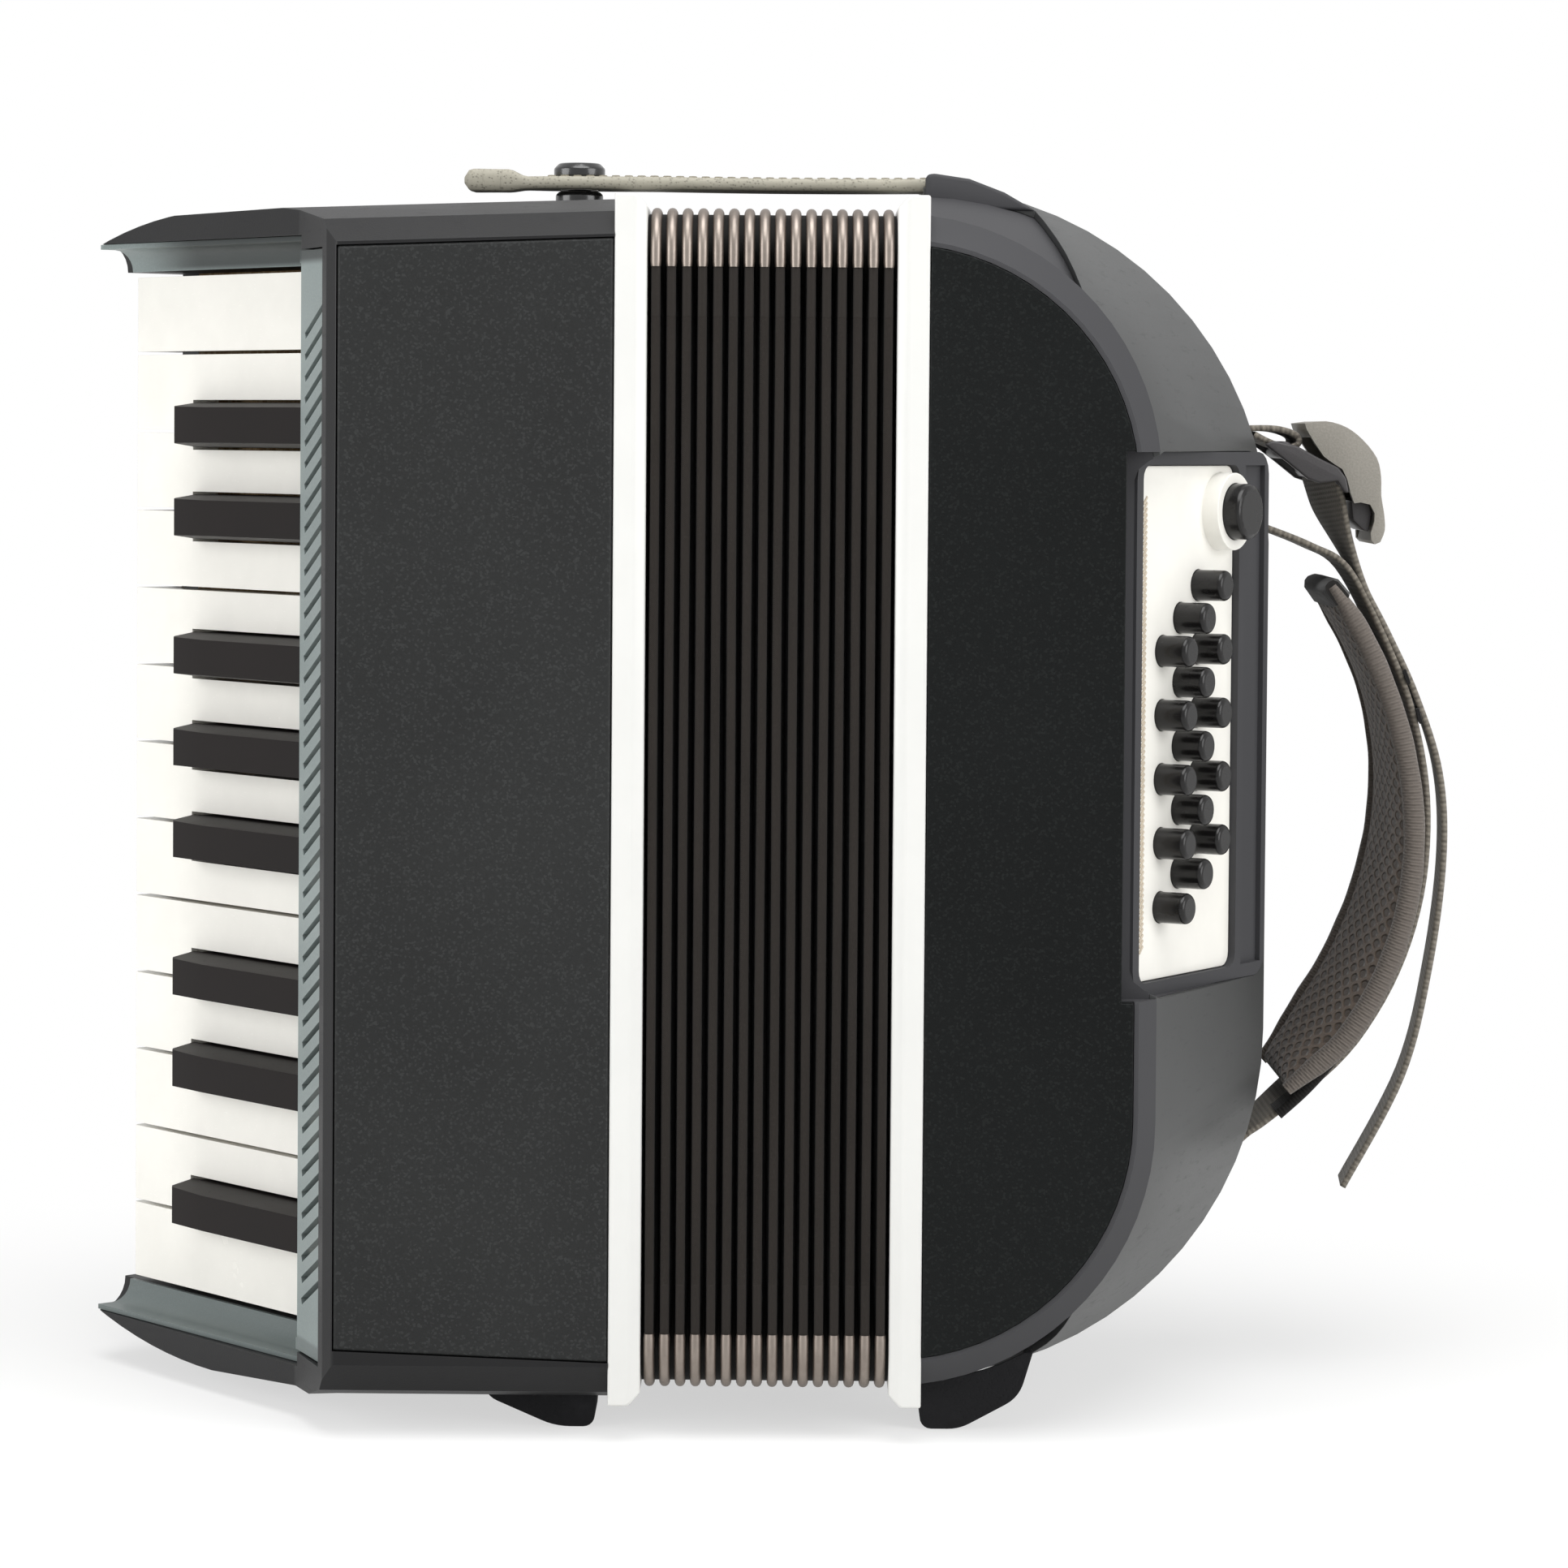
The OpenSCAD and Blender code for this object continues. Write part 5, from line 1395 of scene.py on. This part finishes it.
        self.ribbon("webbing_tail", [
            (SIDE_X + 14.8, STRAP_Y, MIDDLE_Z + 70.6), (SIDE_X + 16.6, STRAP_Y, MIDDLE_Z + 65),
            (SIDE_X + 19.4, STRAP_Y, MIDDLE_Z + 57.5), (SIDE_X + 24.8, STRAP_Y, MIDDLE_Z + 45.5),
            (SIDE_X + 30.6, STRAP_Y, MIDDLE_Z + 34.5),
            (SIDE_X + 37.4, STRAP_Y, MIDDLE_Z + 20), (SIDE_X + 43.2, STRAP_Y, MIDDLE_Z + 2),
            (SIDE_X + 44.4, STRAP_Y, MIDDLE_Z - 18), (SIDE_X + 41.4, STRAP_Y, MIDDLE_Z - 44),
            (SIDE_X + 35.4, STRAP_Y, MIDDLE_Z - 69), (SIDE_X + 22, STRAP_Y, MIDDLE_Z - 95)],
            finish, [(0, -11), (0.1, -11), (0.33, 4), (1, 6)])

    def end_wrap(self):
        """The black sewn sleeve at the strap's lower end."""
        knots = [on_pad(PAD_RADIUS + 5.6, a) for a in (-51, -46, -41, -36, -31)]
        path = smooth_run(knots, 6)

        def section(t):
            wide = 29.0 - 5.0 * t * t
            return flat_section(wide, 2.5 - 0.8 * t, 0.8)
        strip("hand_strap_sleeve", path, strap_sides(path), section,
              woven("sleeve_cloth", tint(28, 26, 25), 0.8, 0.6), "webbing")

    def end_tape(self):
        """Black tape folded over the pad's upper end."""
        across, out = pad_frame(self.twist, PAD_TO)
        along = out.cross(across).normalized()
        at = on_pad(PAD_RADIUS, PAD_TO - 1.3)
        half = self.wide / 2 - 0.6
        path = [at + across * (half * k / 8) for k in range(-8, 9)]
        section = [(-2.6, -2.7), (1.4, -2.5), (2.4, -1.6), (2.7, 0.0), (2.4, 1.6), (1.4, 2.5),
                   (-2.6, 2.7), (-2.9, 2.3), (-2.9, -2.3)]

        def shaped(t):
            end = min(1.0, 0.7 + 4 * min(t, 1 - t))
            return [(a, b * end) for a, b in section]
        sides = [(along if along.z > 0 else -along, out)] * len(path)
        strip("hand_strap_end_tape", path, sides, shaped,
              woven("end_tape_cloth", tint(34, 32, 31), 0.8, 0.7), "pad_mesh")

    def keepers(self):
        """Two elastic loops that hold the tail to the pad."""
        finish = woven("keeper_elastic", tint(26, 25, 25), 0.7, 0.6)
        for n, angle in enumerate((20.0, 14.0)):
            across, out = pad_frame(self.twist, angle)
            at = on_pad(PAD_RADIUS + 4.0 + self.web_thick + 0.6, angle)
            path, sides = [], []
            half = self.web_wide / 2 + 1.0
            for i in range(25):
                s = -1 + i / 12
                bow = 0.5 * (1 - s ** 6)
                path.append(at + across * (half * s) + out * bow)
                sides.append((out.cross(across).normalized(), out))
            strip(f"hand_strap_keeper_{n + 1}", path, sides, flat_section(3.6, 0.8, 0.3),
                  finish, "webbing")


class BuckleBuild(bpy.types.Operator):
    """Builds the hand strap's ladder buckle with its curved tab, and the strap slots"""
    bl_idname = "accordion.buckle"
    bl_label = "Buckle"

    def execute(self, context):
        paint, size = context.scene.accordion_colours, context.scene.accordion_sizes
        wide = size.web_wide / MM + 6.0
        body = moulded("buckle_dark", paint.buckle_body, 0.42, 0.4, 0.03, 0.4, 0.3)
        tab = moulded("buckle_plastic", paint.buckle, 0.5, 0.5, 0.06, 0.35, 0.2)
        rail = [(0.6, 77.4), (2.4, 78.4), (8.0, 77.2), (13.2, 74.4), (17.6, 72.4), (19.6, 69.8),
                (20.2, 66.4), (18.9, 66.6), (17.4, 69.2), (13.4, 68.7), (10.6, 69.6),
                (5.6, 73.6)]
        h = wide / 2
        shapes = [self.slab(rail, side * (h - 1.4), 2.8) for side in (-1, 1)]
        for x, z, r in ((5.4, 76.2, 2.0), (12.2, 72.0, 2.1), (18.6, 69.4, 1.5)):
            bar = [(x + r * math.cos(math.radians(30 * k)), z + r * math.sin(
                math.radians(30 * k))) for k in range(12)]
            shapes.append(self.slab(bar, 0.0, wide - 3.0))
        points, faces = joined(*shapes)
        ladder = new_piece("buckle_ladder", points, faces, body, "buckle_plastic")
        round_edges(ladder, 0.55, 35, 3)
        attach(ladder, "bass")
        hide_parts("hand_strap_buckle")
        self.tab(tab, wide)
        self.slots(body)
        return {"FINISHED"}

    def slab(self, outline, middle, wide):
        """An outline in X and Z, measured from the casing's side, thickened along Y."""
        y = STRAP_Y + middle
        return prism(outline, y - wide / 2, y + wide / 2, SIDE_X, MIDDLE_Z)

    def tab(self, finish, wide):
        """The domed tab: a shell with two cheeks, open underneath and at its tip."""
        outer = smooth_run([(9.7, 0, 82.4), (14.6, 0, 82.9), (19.2, 0, 81.6), (23.1, 0, 78.7),
                            (26.4, 0, 74.5), (27.4, 0, 70.2), (27.5, 0, 65.9),
                            (28.2, 0, 61.7), (28.4, 0, 58.0), (27.4, 0, 55.2)], 3)
        outline = [(p.x, p.z) for p in outer]
        outline += [(26.2, 54.7), (25.3, 55.6), (25.2, 57.3), (26.0, 60.0), (26.0, 61.9),
                    (25.0, 63.8), (22.9, 64.3), (21.3, 64.1), (20.4, 66.5), (19.6, 69.6),
                    (18.5, 71.9), (16.4, 73.2), (14.2, 74.8), (12.0, 78.0), (10.2, 80.9)]
        points, faces = self.slab(outline, 0.0, wide)
        tab = new_piece("buckle_tab", points, faces, finish, "buckle_plastic")
        hollow = self.slab([(12.6, 79.2), (14.9, 80.5), (18.2, 79.5), (21.4, 77.1),
                            (24.4, 73.5), (25.2, 70.0), (25.2, 65.9), (26.0, 61.8),
                            (26.1, 58.4), (25.3, 55.0), (24.0, 52.0), (18.0, 56.0),
                            (14.0, 68.0), (7.0, 79.0)], 0.0, wide - 4.4)
        cut_away(tab, *hollow)
        round_edges(tab, 0.7, 32, 3)
        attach(tab, "bass")
        grip = self.slab([(20.8, 64.8), (24.6, 65.2), (25.6, 61.8), (25.0, 57.4), (23.6, 58.0),
                          (21.3, 60.2)], 0.0, wide - 4.6)
        grip = new_piece("buckle_grip", *grip, bpy.data.materials["buckle_dark"],
                         "buckle_plastic")
        round_edges(grip, 0.6, 30, 2)
        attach(grip, "bass")

    def slots(self, finish):
        """Small frames where the webbing goes into the casing."""
        for n, z in enumerate((80.8, 58.5, -86.0)):
            here = side_x(z)
            slope = math.atan2(side_x(z + 0.5) - side_x(z - 0.5), 1.0)
            place = (Matrix.Translation((here + 0.05, STRAP_Y, MIDDLE_Z + z))
                     @ Matrix.Rotation(slope, 4, "Y"))
            half = 15.2
            bars = [block((-0.1, -half, 1.3), (0.8, half, 3.1)),
                    block((-0.1, -half, -3.1), (0.8, half, -1.3)),
                    block((-0.1, -half, -1.6), (0.8, -half + 1.9, 1.6)),
                    block((-0.1, half - 1.9, -1.6), (0.8, half, 1.6))]
            points, faces = placed(joined(*bars), place)
            rim = new_piece(f"strap_slot_{n + 1}", points, faces, finish, "casing_dark")
            round_edges(rim, 0.25, 30, 2)
            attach(rim, "bass")


class ScrewsBuild(bpy.types.Operator):
    """Sets the countersunk screws on the backs of both casings"""
    bl_idname = "accordion.screws"
    bl_label = "Screws"

    def execute(self, context):
        paint = context.scene.accordion_colours
        finish = drawn_metal("screw_steel", shade_of(paint.steel, 0.45), 0.34,
                             (1.0, 1.0, 1.0), 0.5)
        sites = [("treble", x, dz) for x in (-43.0, -103.0) for dz in (-112.0, 0.0, 112.0)]
        sites += [("bass", 46.0, dz) for dz in (-110.0, 0.0, 110.0)]
        sites += [("bass", 98.0, dz) for dz in (-62.0, 62.0)]
        shape = lathe([(0, -0.6), (2.3, -0.6), (2.6, 0.0), (2.5, 0.35), (1.9, 0.62),
                       (0.9, 0.74), (0, 0.76)], 24)
        cross = joined(block((-1.5, -0.28, 0.15), (1.5, 0.28, 1.4)))
        other = joined(block((-0.28, -1.5, 0.15), (0.28, 1.5, 1.4)))
        for n, (body, x, dz) in enumerate(sites):
            screw = new_piece(f"back_screw_{n + 1:02d}", shape[0], shape[1], finish, "steel")
            cut_away(screw, *cross)
            cut_away(screw, *other)
            screw.data.polygons.foreach_set("use_smooth", [True] * len(screw.data.polygons))
            screw.data.set_sharp_from_angle(angle=math.radians(35))
            screw.matrix_world = (
                Matrix.Translation((x * MM, (BACK_Y - 0.02) * MM, (MIDDLE_Z + dz) * MM))
                @ Matrix.Rotation(math.radians(-90), 4, "X")
                @ Matrix.Rotation(math.radians(37 * n), 4, "Z"))
            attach(screw, body)
        return {"FINISHED"}


class AccordionPanel(bpy.types.Panel):
    """Lists the accordion's pieces, sizes and colours"""
    bl_idname = "VIEW3D_PT_accordion"
    bl_label = "Accordion"
    bl_space_type = "VIEW_3D"
    bl_region_type = "UI"
    bl_category = "Accordion"

    def draw(self, context):
        for operator in STEPS:
            self.layout.operator(operator.bl_idname)
        for group in ("accordion_sizes", "accordion_colours", "accordion_stage"):
            box = self.layout.box()
            values = getattr(context.scene, group)
            for key in values.__annotations__:
                box.prop(values, key)


STEPS = (StageBuild, TrebleBuild, KeysBuild, WorksBuild, BassBuild, ButtonsBuild,
         BellowsBuild, BellowsStrapBuild, HandStrapBuild, BuckleBuild, ScrewsBuild)
GROUPS = (AccordionColours, AccordionSizes, AccordionStage)
CLASSES = GROUPS + STEPS + (AccordionPanel,)


def register():
    for cls in CLASSES:
        bpy.utils.register_class(cls)
    bpy.types.Scene.accordion_colours = PointerProperty(type=AccordionColours)
    bpy.types.Scene.accordion_sizes = PointerProperty(type=AccordionSizes)
    bpy.types.Scene.accordion_stage = PointerProperty(type=AccordionStage)


def unregister():
    del bpy.types.Scene.accordion_stage
    del bpy.types.Scene.accordion_sizes
    del bpy.types.Scene.accordion_colours
    for cls in reversed(CLASSES):
        bpy.utils.unregister_class(cls)


def main():
    register()
    bpy.ops.accordion.stage()
    bpy.ops.accordion.treble()
    bpy.ops.accordion.keys()
    bpy.ops.accordion.works()
    bpy.ops.accordion.bass()
    bpy.ops.accordion.buttons()
    bpy.ops.accordion.bellows()
    bpy.ops.accordion.bellows_strap()
    bpy.ops.accordion.hand_strap()
    bpy.ops.accordion.buckle()
    bpy.ops.accordion.screws()


if __name__ == "__main__":
    main()
